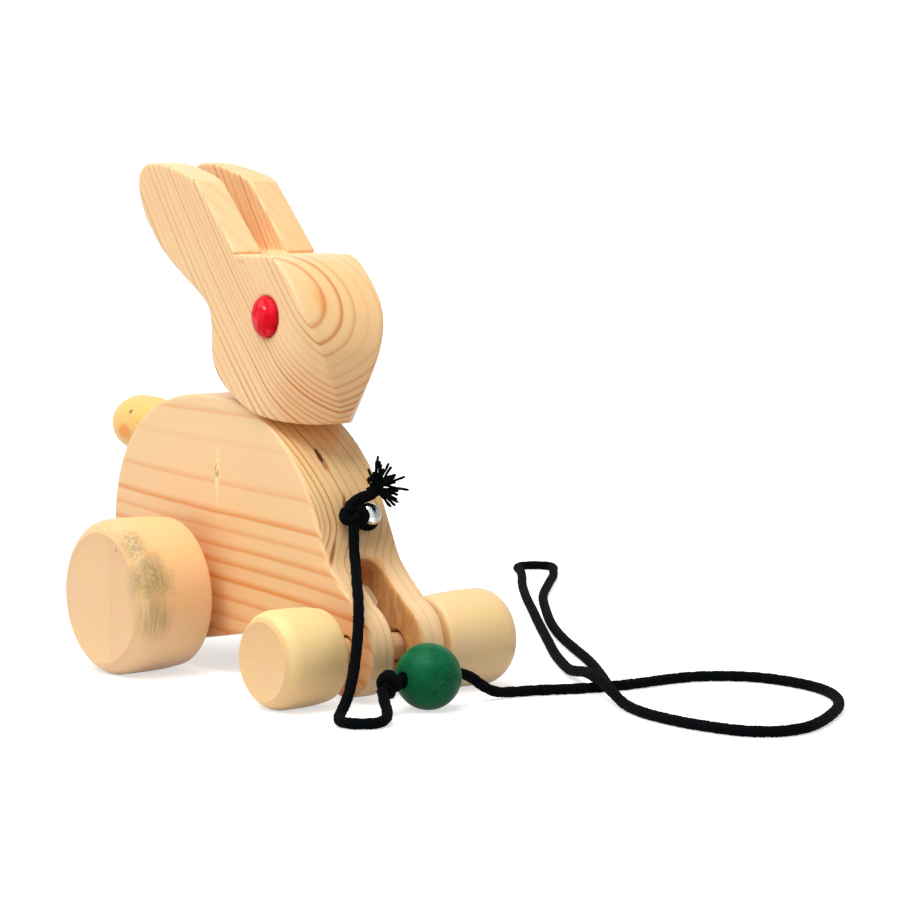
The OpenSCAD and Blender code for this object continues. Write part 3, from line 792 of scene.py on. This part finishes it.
def wheel_marks(side, outer, d, tones, stained):
    """Tones of face and drum, low and high (the right front drum's lighter top partly painted light), patches, flecks
    on the face, and the stain where the wheel has one.
    """
    def marks(f, base):
        high = f.within(("Z", 0.22 * d, 0.85 * d))
        face = f.within(("Y", side * (outer - 0.0013), side * (outer - 0.0006)))
        tone = f.blend(face, f.blend(high, *tones[2:]), f.blend(high, *tones[:2]))
        base = f.tint(base, tone)
        patch = f.span(f.noise(f.place, (150.0, 82.5, 120.0), 3.0, 0.6), 0.36, 0.64)
        base = f.tint(base, f.blend(patch, (0.99, 0.99, 1.01), (0.985, 1.015, 0.9)))
        fleck = f.span(f.noise(f.place, (950.0, 950.0, 570.0)), 0.66, 0.74, 0.0, 0.3)
        base = f.blend(f.times(fleck, face), base, (1.0, 0.84, 0.64))
        return stain_marks(f, base) if stained else base
    return marks


def stain_marks(f, base):
    """Grey-green stain over the right rear wheel's shoulder; a band, a grey cast and a speck on its face."""
    streak = f.span(f.noise(f.place, (260.0, 1500.0, 110.0), 3.0, 0.6), 0.36, 0.64)
    fleck = f.span(f.noise(f.place, 1000.0, 3.0, 0.7), 0.42, 0.6)
    stain = 0.0
    for spot, pattern, least, most in (
        (((-0.0034, -0.0394, 0.0386), (0.0088, 0.0042, 0.0058), (0.0, 0.65, 0.0), 0.8, 0.6), fleck, 0.5, 1.0),
        (((0.0025, -0.0374, 0.0298), (0.009, 0.0082, 0.0118), UNTURNED, 0.85, 0.6),
            f.math("MAXIMUM", streak, fleck), 0.45, 1.0),
        (((0.0044, -0.0374, 0.0192), (0.009, 0.0074, 0.0112), UNTURNED, 0.85, 0.5), streak, 0.25, 0.75),
    ):
        stain = f.math("MAXIMUM", stain, f.times(f.spot(*spot), f.span(pattern, 0.0, 1.0, least, most)))
    base = f.blend(f.times(stain, 0.95), base, (0.36, 0.268, 0.11))
    band = f.within(("X", -0.0129, -0.0126), ("Y", -0.0412, -0.0419))
    base = f.tint(base, (0.975, 0.955, 0.93), band)
    cast = f.spot((0.0002, -0.0425, 0.0262), (0.004, 0.002, 0.0125), edge=0.9)
    base = f.tint(base, (0.91, 0.90, 0.88), cast)
    return f.dab(base, *WHEEL_SPECK)


def tail_marks(f, base):
    """A brown patch and a dark dot on the tail's right."""
    for spot in TAIL_SPOTS:
        base = f.dab(base, *spot)
    return base


def cord_finish(name):
    f = Finish(name)
    black = Vector(bpy.context.scene.pulltoy_cord.black)
    fluff = f.noise(f.place, 2600.0, 3.0, 0.6)
    lint = f.span(f.noise(f.place, 900.0, 1.0), 0.735, 0.76, 0.0, 0.3)
    base = f.blend(f.span(fluff, 0.35, 0.7), black * 0.7, black * 1.8)
    base = f.blend(lint, base, (0.05, 0.06, 0.06))
    sheen = {"Sheen Weight": 0.006, "Sheen Roughness": 0.5, "Specular IOR Level": 0.02}
    return f.close(base, 0.85, fluff, 0.00012, sheen)


def bead_finish(name):
    f = Finish(name)
    green = Vector(bpy.context.scene.pulltoy_fittings.bead_green)
    cloud = f.noise(f.place, 190.0, 4.0, 0.6)
    scuff = f.noise(f.place, (700.0, 350.0, 700.0), 3.0, 0.6)
    base = f.blend(f.span(cloud, 0.35, 0.7), green * 0.75, green * 1.2 + Vector((0.001, 0.008, 0.005)))
    # Painted shade: the lower part of the bead is darker
    base = f.tint(base, (0.6, 0.8, 0.78), f.within(("Z", 0.0115, 0.006)))
    base = f.blend(f.span(scuff, 0.62, 0.72, 0.0, 0.35), base, (0.07, 0.28, 0.15))
    height = f.plus(cloud, 0.7, f.times(scuff, 0.3))
    return f.close(base, f.span(scuff, 0.3, 0.7, 0.3, 0.48), height, 0.00012, {"Specular IOR Level": 0.06})


def eye_finish(name):
    """Red stone with facets drawn as lighter and darker patches of painted light, a painted shadow as its dark rim and
    painted highlights.
    """
    f = Finish(name)
    fittings = bpy.context.scene.pulltoy_fittings
    red, r = Vector(fittings.eye_red), fittings.eye_d / 2.0
    axes = f.axes()
    flat = f.out("CombineXYZ", None, {0: axes["X"], 1: axes["Z"]})
    at = f.turn((EYE_MIDDLE[0], EYE_MIDDLE[2], 0.0), UNTURNED, (r, r, 1.0), flat)
    sockets = {"Vector": at, "Scale": 1.5, "Randomness": 0.8, "Smoothness": 0.08}
    cut = f.add("TexVoronoi", {"feature": "SMOOTH_F1"}, sockets)
    tone = f.axes(cut.outputs["Color"])[0]
    # Facets drawn as lighter and darker patches: painted light
    base = f.blend(f.span(tone, 0.2, 0.8), red * 0.86, red + Vector((0.03, 0.022, 0.034)))
    # A dark rim: painted shadow round the stone
    base = f.blend(f.span(f.reach(at), 0.86, 0.98, 0.0, 0.7), base, (0.36, 0.004, 0.012))
    # Lighter facets and a highlight: painted light
    for middle, radii, full, strength, light in EYE_PAINTED_HIGHLIGHTS:
        far = f.reach(f.turn((*middle, 0.0), (0.0, 0.0, -0.6), (*radii, 1.0), at))
        base = f.blend(f.span(far, 1.0, full, 0.0, strength, smooth=True), base, light)
    scratch = f.noise(f.place, 1800.0)
    return f.close(base, f.span(scratch, 0.3, 0.7, 0.07, 0.16), scratch, 0.00001, {"Specular IOR Level": 0.04})


def steel_finish(name):
    f = Finish(name)
    steel = bpy.context.scene.pulltoy_fittings.steel
    brushed = f.noise(f.place, (600.0, 2400.0, 600.0))
    base = f.blend(f.span(brushed, 0.3, 0.7), steel, Vector(steel) * 0.92)
    # Painted reflection: a dark grey patch on the dome
    base = f.dab(base, *SCREW_PAINTED_REFLECTION)
    return f.close(base, f.span(brushed, 0.3, 0.7, 0.1, 0.2), brushed, 0.000006, {"Metallic": 1.0})


def dress(piece, finish):
    piece.data.materials.clear()
    piece.data.materials.append(finish)


def hand_over(piece, finish, body, node):
    """Dresses a finished piece, hangs it on its body's empty and hides the node it replaces."""
    dress(piece, finish)
    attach(piece, body)
    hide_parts(node)


# Pieces

class PULLTOY_OT_carve_body(bpy.types.Operator):
    """Carves the body board with softly rounded edges and its pine grain"""

    bl_idname = "pulltoy.carve_body"
    bl_label = "Carve body"

    def execute(self, context):
        wood = context.scene.pulltoy_wood
        piece = carved("body", "carved_body", wood.body_cell)
        crown = piece.vertex_groups.new(name="arch crown")
        for vertex in piece.data.vertices:
            near = 1.0 - math.hypot(vertex.co.x - ARCH_CROWN[0], vertex.co.z - ARCH_CROWN[1]) / CROWN_REACH
            if near > 0.0:
                crown.add([vertex.index], near * near * (3.0 - 2.0 * near), "REPLACE")
        apply_modifier(
            piece, "DISPLACE", direction="Z", strength=-CROWN_DROP, mid_level=0.0, vertex_group=crown.name)
        piece.vertex_groups.clear()
        sand(piece, wood.body_sanding)
        finish = pine_finish(
            "pine of the body", body_sheets, BODY_RINGS, BODY_WIDTHS, 0.0012, BODY_SIDE,
            (wood.pine_line, wood.pine_edge_line), body_marks, edges=body_edges)
        hand_over(piece, finish, "toy", "body")
        return {"FINISHED"}


class PULLTOY_OT_carve_head(bpy.types.Operator):
    """Carves the head with its ears, cheeks and saw cut"""

    bl_idname = "pulltoy.carve_head"
    bl_label = "Carve head"

    def execute(self, context):
        wood = context.scene.pulltoy_wood
        piece = carved("head", "carved_head", wood.head_cell)
        sand(piece, wood.head_sanding)
        finish = pine_finish(
            "pine of the head", head_shells, HEAD_RINGS, HEAD_WIDTHS, 0.0005, HEAD_SIDE,
            (wood.pine_thin_line, wood.pine_front_line), head_marks, head_strength)
        hand_over(piece, finish, "toy", "head")
        return {"FINISHED"}


def wheel_profile(r, w, fall):
    """Blind bore, rounded inner rim, slightly barrelled drum, soft shoulder and dished face."""
    bore_depth, lead, rim, rounding = 0.013, 0.0006, 0.0023, 0.0015
    shoulder, dish_edge, dish_depth, dish_steps = 0.0045, 0.0015, 0.0005, 8
    profile = [(bore_depth, 0.0), (bore_depth, AXLE_R), (lead, AXLE_R), (0.0, AXLE_R + lead), (0.0, r - rim)]
    profile += arc((rounding, r - rim), (-rounding, rounding), 90.0, 0.0, 6)[1:]
    profile += [(0.22 * w, r - 0.0003), (0.36 * w, r - 0.0001), (0.5 * w, r)]
    face = r - fall
    begin, bend, end = (w - shoulder, r), (w - 0.0016, r - 0.0005), (w, face)
    profile += [
        tuple((1 - t) ** 2 * a + 2 * t * (1 - t) * b + t * t * c for a, b, c in zip(begin, bend, end))
        for t in (k / 14.0 for k in range(15))]
    profile += [(w - 0.00002, face - 0.0002), (w - 0.0002, face - dish_edge)]
    for k in range(dish_steps - 1, -1, -1):
        out = k / dish_steps
        profile.append((w - dish_depth + 0.0003 * out ** 2, (face - dish_edge) * out))
    return profile


class PULLTOY_OT_turn_wheels(bpy.types.Operator):
    """Turns the four drum wheels"""

    bl_idname = "pulltoy.turn_wheels"
    bl_label = "Turn wheels"

    def execute(self, context):
        wood = context.scene.pulltoy_wood
        for node, (body, axle, d, fall, pale), side, inner, w, tones in WHEELS:
            r = d / 2.0
            piece = turned(
                "turned_" + node, wheel_profile(r, w, fall), (axle[0], side * inner, axle[1]), (0.0, side, 0.0), 24.0)
            heart = (axle[0] - 0.02 - 0.012 * side, 0.0, axle[1] + 0.018)
            finish = turned_finish(
                "wood of " + node, heart, ACROSS, 0.0024, 3.0 * side + r * 100.0,
                getattr(wood, pale), wood.turned_line, (0.0, 0.07),
                wheel_marks(side, inner + w, d, tones, node == "right_rear_wheel"))
            hand_over(piece, finish, body, node)
        return {"FINISHED"}


class PULLTOY_OT_finish_dowels(bpy.types.Operator):
    """Gives the axles and the neck peg their wood"""

    bl_idname = "pulltoy.finish_dowels"
    bl_label = "Finish dowels"

    def execute(self, context):
        pale = Vector(context.scene.pulltoy_wood.dowel)
        for node, heart, turn in (
            ("rear_axle", (REAR_AXLE[0] - 0.006, 0.0, REAR_AXLE[1] + 0.004), ACROSS),
            ("front_axle", (FRONT_AXLE[0] - 0.006, 0.0, FRONT_AXLE[1] + 0.004), ACROSS),
            ("neck_peg", (0.01, 0.004, 0.0), UNTURNED),
        ):
            finish = turned_finish("wood of " + node, heart, turn, 0.0011, 0.4, pale, pale * 0.6, (0.2, 0.8))
            dress(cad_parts[node], finish)
        return {"FINISHED"}


class PULLTOY_OT_turn_tail(bpy.types.Operator):
    """Turns the egg-shaped tail with its tenon"""

    bl_idname = "pulltoy.turn_tail"
    bl_label = "Turn tail"

    def execute(self, context):
        wood = context.scene.pulltoy_wood
        tail_l, r, widest, neck_r = 0.0275, 0.0085, 0.0165, 0.0052
        tenon_l, tenon_r, lead = 0.016, 0.004, 0.0004
        profile = [
            (-tenon_l, 0.0), (-tenon_l, tenon_r - lead), (lead - tenon_l, tenon_r), (0.0, tenon_r), (0.0002, 0.0048)]
        profile += arc((widest, neck_r), (widest - 0.0002, r - neck_r), -90.0, 0.0, 14)
        profile += arc((widest, 0.0), (tail_l - widest, r), 0.0, 90.0, 26)[1:-1] + [(tail_l, 0.0)]
        piece = turned("turned_tail", profile, TAIL_ROOT, (-1.0, 0.0, 0.0), 60.0)
        finish = turned_finish(
            "wood of the tail", (0.0, 0.016, 0.075), ALONG, 0.003, 0.7,
            wood.tail_pale, wood.tail_line, (0.0, 0.22), tail_marks)
        hand_over(piece, finish, "toy", "tail")
        return {"FINISHED"}


class PULLTOY_OT_set_eyes(bpy.types.Operator):
    """Sets a cut red stone in each cheek"""

    bl_idname = "pulltoy.set_eyes"
    bl_label = "Set eyes"

    def stone(self, context, r, h):
        """A faceted dome with a flat table, standing up on a short root."""
        table, root = 0.9, 0.0008
        clear_selection()
        bpy.ops.mesh.primitive_uv_sphere_add(segments=12, ring_count=8, radius=1.0, location=(0.0, 0.0, 0.0))
        piece = context.object
        edit_all(piece)
        for level, cut in ((0.0, {"clear_inner": True}), (table, {"clear_outer": True})):
            bpy.ops.mesh.bisect(plane_co=(0.0, 0.0, level), plane_no=(0.0, 0.0, 1.0), use_fill=True, **cut)
            bpy.ops.mesh.select_all(action="SELECT")
        bpy.ops.transform.resize(value=(r, r, h / table), center_override=(0.0, 0.0, 0.0))
        bpy.ops.mesh.select_all(action="DESELECT")
        leave_edit()
        for face in piece.data.polygons:
            if face.normal.z < -0.9:
                face.select = True
        bpy.ops.object.mode_set(mode="EDIT")
        bpy.ops.mesh.extrude_region_move(TRANSFORM_OT_translate={"value": (0.0, 0.0, -root)})
        leave_edit()
        merge_and_turn_out(piece, 1e-7)
        return piece

    def execute(self, context):
        fittings = context.scene.pulltoy_fittings
        finish = eye_finish("red eye stone")
        for node, side in (("right_eye", -1.0), ("left_eye", 1.0)):
            piece = self.stone(context, fittings.eye_d / 2.0, fittings.eye_h)
            piece.rotation_euler = (math.radians(90.0) * -side, math.radians(15.0), 0.0)
            piece.location = (EYE_MIDDLE[0], side * EYE_MIDDLE[1], EYE_MIDDLE[2])
            settle(piece, "cut_" + node)
            apply_modifier(
                piece, "BEVEL", width=0.00016, segments=2, limit_method="ANGLE", angle_limit=math.radians(8.0))
            smooth_shade(piece, 14.0)
            hand_over(piece, finish, "toy", node)
        return {"FINISHED"}


class PULLTOY_OT_drive_screw(bpy.types.Operator):
    """Turns the domed chest screw"""

    bl_idname = "pulltoy.drive_screw"
    bl_label = "Drive screw"

    def execute(self, context):
        r = context.scene.pulltoy_fittings.screw_head_d / 2.0
        shank_r, neck, dome = 0.0015, 0.0044, 0.002
        profile = [(-0.017, 0.0), (-0.0145, 0.0013), (-0.014, shank_r), (neck, shank_r)]
        profile += [(neck, r - 0.0003), (neck + 0.0002, r)]
        profile += arc((neck + 0.0003, 0.0), (dome, r), 0.0, 90.0, 18)[:-1] + [(neck + 0.0003 + dome, 0.0)]
        piece = turned("domed_screw", profile, SCREW_SEAT, SCREW_AXIS, 40.0, 64)
        hand_over(piece, steel_finish("polished screw"), "toy", "chest_screw")
        return {"FINISHED"}


class PULLTOY_OT_tie_knots(bpy.types.Operator):
    """Ties the cord round the screw and knots it beside the bead"""

    bl_idname = "pulltoy.tie_knots"
    bl_label = "Tie knots"

    def execute(self, context):
        cord = context.scene.pulltoy_cord
        r = cord.diameter / 2.0
        rng = np.random.default_rng(7)
        finish = cord_finish("black cotton knot")
        axis = Vector(SCREW_AXIS)
        u = axis.orthogonal().normalized()
        v = axis.cross(u)
        seat, turn_r = Vector(SCREW_SEAT) + axis * 0.0021, 0.0027
        turns = np.linspace(0, 2 * math.pi, 60, False)
        round_screw = np.array([seat + (u * math.cos(a) + v * math.sin(a)) * turn_r for a in turns])
        to_tuft = (
            (0.0505, -0.0042, 0.0505), (0.0502, -0.0022, 0.0527), (0.0498, 0.0006, 0.0538), (0.0502, 0.0032, 0.0546),
            TUFT_MIDDLE)
        to_drop = (DROP_ROUTE[0], (0.0514, -0.0031, 0.0466), (0.0508, -0.0027, 0.0484), (0.0503, -0.0026, 0.0504))
        chest_loop = knot_line(CHEST_KNOT_MIDDLE, (0.75, -0.5, 0.35), 0.00097, 150, 0.5)
        parts = [
            cord_mesh(name, *line, r * thickness, cord.braid, rng, closed=closed)
            for name, line, thickness, closed in (
                ("chest_lump", chest_loop, 1.05, True),
                ("screw_turn", (round_screw, np.linspace(0.0, 0.0167, 60)), 0.92, True),
                ("tuft_neck", along_route(to_tuft, 0.0004), 1.12, False),
                ("cord_root", along_route(to_drop, 0.0004), 1.02, False))]
        hand_over(join(parts, "chest_knot_turns"), finish, "toy", "chest_knot")
        bead_loop = knot_line(BEAD_KNOT_MIDDLE, (0.1, 1.0, 0.1), 0.00088, 130, 0.2)
        knot = cord_mesh("bead_knot_turns", *bead_loop, r * 1.02, cord.braid, rng, closed=True)
        hand_over(knot, finish, "toy", "bead_knot")
        return {"FINISHED"}


class PULLTOY_OT_fray_end(bpy.types.Operator):
    """Spreads the strands of the short cut end"""

    bl_idname = "pulltoy.fray_end"
    bl_label = "Fray end"

    def execute(self, context):
        cord = context.scene.pulltoy_cord
        rng = np.random.default_rng(19)
        right, up, toward = (
            Vector(way) for way in ((0.615, 0.788, 0.0), (-0.075, 0.059, 0.995), (0.785, -0.612, 0.095)))
        first_angle, fan, strand_r, relief = -48.0, 168.0, 0.00039, 0.16
        pieces = []
        for i in range(cord.strands):
            angle = math.radians(first_angle + fan * (i + 0.5) / cord.strands + rng.uniform(-5.0, 5.0))
            tilt = math.radians(rng.uniform(-48.0, 48.0))
            shorter = 0.72 if angle > 1.6 else 1.0
            if i == 0:
                # one strand stands off to the other side
                angle, tilt, shorter = math.radians(162.0), 0.1, 0.55
            flat = right * math.cos(angle) + up * math.sin(angle)
            ahead = flat * math.cos(tilt) + toward * math.sin(tilt)
            ahead = ahead * rng.uniform(0.0044, 0.0074) * shorter
            bend = Vector(np.clip(rng.normal(0.0, 0.0008, 3), -0.001, 0.001))
            start = Vector(TUFT_MIDDLE) + Vector(rng.normal(0.0, 0.0006, 3)) - right * 0.0008
            route = (start, start + ahead * 0.3, start + ahead * 0.65 + bend, start + ahead + bend * 1.6)
            line, far = along_route(route, 0.0005)
            taper = np.interp(np.linspace(0.0, 1.0, len(line)), (0.0, 0.6, 0.93, 1.0), (0.9, 0.95, 1.12, 0.7))
            pieces.append(cord_mesh("strand", line, far, strand_r, relief, rng, 8, taper=taper))
        piece = join(pieces, "frayed_strands")
        hand_over(piece, cord_finish("black cotton fray"), "toy", "frayed_end")
        return {"FINISHED"}


class PULLTOY_OT_thread_bead(bpy.types.Operator):
    """Turns and paints the bead on the cord"""

    bl_idname = "pulltoy.thread_bead"
    bl_label = "Thread bead"

    def execute(self, context):
        fittings = context.scene.pulltoy_fittings
        r, bore, lead = fittings.bead_d / 2.0, fittings.bead_bore / 2.0, 0.0005
        half = math.sqrt(r * r - (bore + lead) ** 2)
        first = math.degrees(math.asin(-half / r))
        profile = [(-half + lead, bore), (-half + 0.0001, bore + 0.0002)]
        profile += arc((0.0, 0.0), (r, r), first, -first, 60)
        profile += [(half - 0.0001, bore + 0.0002), (half - lead, bore), (-half + lead, bore)]
        piece = turned("painted_bead", profile, BEAD_MIDDLE, (0.0, 1.0, 0.0), 50.0)
        hand_over(piece, bead_finish("green bead paint"), "bead", "bead")
        return {"FINISHED"}


class PULLTOY_OT_lay_cord(bpy.types.Operator):
    """Lays the pull cord from the chest knot to the bead and over the floor"""

    bl_idname = "pulltoy.lay_cord"
    bl_label = "Lay cord"

    def execute(self, context):
        cord = context.scene.pulltoy_cord
        rng = np.random.default_rng(3)
        finish = cord_finish("black cotton cord")
        on_drop = ("bead_knot_turns", "chest_knot_turns", "frayed_strands")
        for name, node, route, far_end, on_it in (
            ("hanging_cord", "drop_cord", DROP_ROUTE, "knot", on_drop),
            ("pulling_cord", "pull_cord", PULL_ROUTE, "bare", ("painted_bead",)),
        ):
            line, far = along_route(route, 0.00045)
            taper = np.ones(len(line))
            if far_end == "bare":
                taper[-3:] = (0.97, 0.9, 0.72)
            piece = cord_mesh(name, line, far, cord.diameter / 2.0, cord.braid, rng, 24, taper=taper)
            hand_over(piece, finish, "toy", node)
        return {"FINISHED"}


class PULLTOY_OT_set_stage(bpy.types.Operator):
    """Sets floor, light and camera"""

    bl_idname = "pulltoy.set_stage"
    bl_label = "Set stage"

    def lamp(self, name, power, place, aim, size):
        clear_selection()
        bpy.ops.object.light_add(type="AREA", location=place)
        lamp = bpy.context.object
        lamp.name = name
        lamp.data.energy = power
        lamp.data.shape = "DISK"
        lamp.data.size = size
        lamp.rotation_euler = (Vector(aim) - Vector(place)).to_track_quat("-Z", "Y").to_euler()

    def floor_finish(self, pale):
        """Matt floor that the camera sees brighter, most of all far from the toy."""
        f = Finish("pale studio floor")
        tooth = f.noise(f.place, 60.0)
        shade = f.blend(f.span(tooth, 0.3, 0.7), pale, Vector(pale) * 0.99)
        matt = f.out("BsdfDiffuse", None, {"Color": shade})
        brighter = f.span(f.reach(f.turn((0.03, 0.06, 0.0))), 0.2, 0.9, 0.62, 0.92, smooth=True)
        glow = f.out("Emission", None, {"Strength": f.times(f.seen(), brighter)})
        both = f.out("AddShader", None, {0: matt, 1: glow})
        f.add("OutputMaterial", None, {0: both})
        return f.material

    def even_room(self, strength):
        """Even light from all round, with a white background for the camera."""
        world = bpy.data.worlds.new("even studio room")
        world.use_nodes = True
        n = Nodes(world.node_tree)
        white = (1.0, 1.0, 1.0, 1.0)
        light, background = (
            n.out("Background", None, {"Color": white, "Strength": level}) for level in (strength, 1.0))
        mixed = n.out("MixShader", None, {0: n.seen(), 1: light, 2: background})
        n.add("OutputWorld", None, {0: mixed})
        return world

    def execute(self, context):
        stage = context.scene.pulltoy_stage
        clear_selection()
        bpy.ops.mesh.primitive_plane_add(size=40.0, location=(0.0, 0.0, 0.0))
        floor = settle(context.object, "studio_floor")
        floor.data.materials.append(self.floor_finish(stage.floor))
        context.scene.world = self.even_room(stage.room)
        self.lamp("overhead light", stage.key, *OVERHEAD)
        self.lamp("right side light", stage.side, *RIGHT_SIDE)
        clear_selection()
        bpy.ops.object.camera_add(
            location=CAMERA_PLACE, rotation=(math.radians(90.0 - CAMERA_ABOVE), 0.0, math.radians(CAMERA_AROUND)))
        camera = context.object
        camera.data.lens = stage.lens
        camera.data.sensor_width = 36.0
        camera.data.clip_start = 0.01
        context.scene.camera = camera
        context.scene.view_settings.view_transform = "Standard"
        return {"FINISHED"}


OPERATORS = (
    PULLTOY_OT_carve_body,
    PULLTOY_OT_carve_head,
    PULLTOY_OT_turn_wheels,
    PULLTOY_OT_finish_dowels,
    PULLTOY_OT_turn_tail,
    PULLTOY_OT_set_eyes,
    PULLTOY_OT_drive_screw,
    PULLTOY_OT_tie_knots,
    PULLTOY_OT_fray_end,
    PULLTOY_OT_thread_bead,
    PULLTOY_OT_lay_cord,
    PULLTOY_OT_set_stage,
)


class PULLTOY_PT_bench(bpy.types.Panel):
    """Lists the pieces of the pull toy"""

    bl_idname = "PULLTOY_PT_bench"
    bl_label = "Pull Toy"
    bl_space_type = "VIEW_3D"
    bl_region_type = "UI"
    bl_category = "Pull Toy"

    def draw(self, context):
        for operator in OPERATORS:
            self.layout.operator(operator.bl_idname)
        for group in GROUPS:
            box = self.layout.box()
            settings = getattr(context.scene, group)
            for key in settings.__annotations__:
                box.prop(settings, key)


CLASSES = (*GROUPS.values(), *OPERATORS, PULLTOY_PT_bench)


def register():
    for cls in CLASSES:
        bpy.utils.register_class(cls)
    for name, cls in GROUPS.items():
        setattr(bpy.types.Scene, name, bpy.props.PointerProperty(type=cls))


def unregister():
    for name in GROUPS:
        delattr(bpy.types.Scene, name)
    for cls in reversed(CLASSES):
        bpy.utils.unregister_class(cls)


def main():
    register()
    bpy.ops.pulltoy.carve_body()
    bpy.ops.pulltoy.carve_head()
    bpy.ops.pulltoy.turn_wheels()
    bpy.ops.pulltoy.finish_dowels()
    bpy.ops.pulltoy.turn_tail()
    bpy.ops.pulltoy.set_eyes()
    bpy.ops.pulltoy.drive_screw()
    bpy.ops.pulltoy.tie_knots()
    bpy.ops.pulltoy.fray_end()
    bpy.ops.pulltoy.thread_bead()
    bpy.ops.pulltoy.lay_cord()
    bpy.ops.pulltoy.set_stage()


if __name__ == "__main__":
    main()
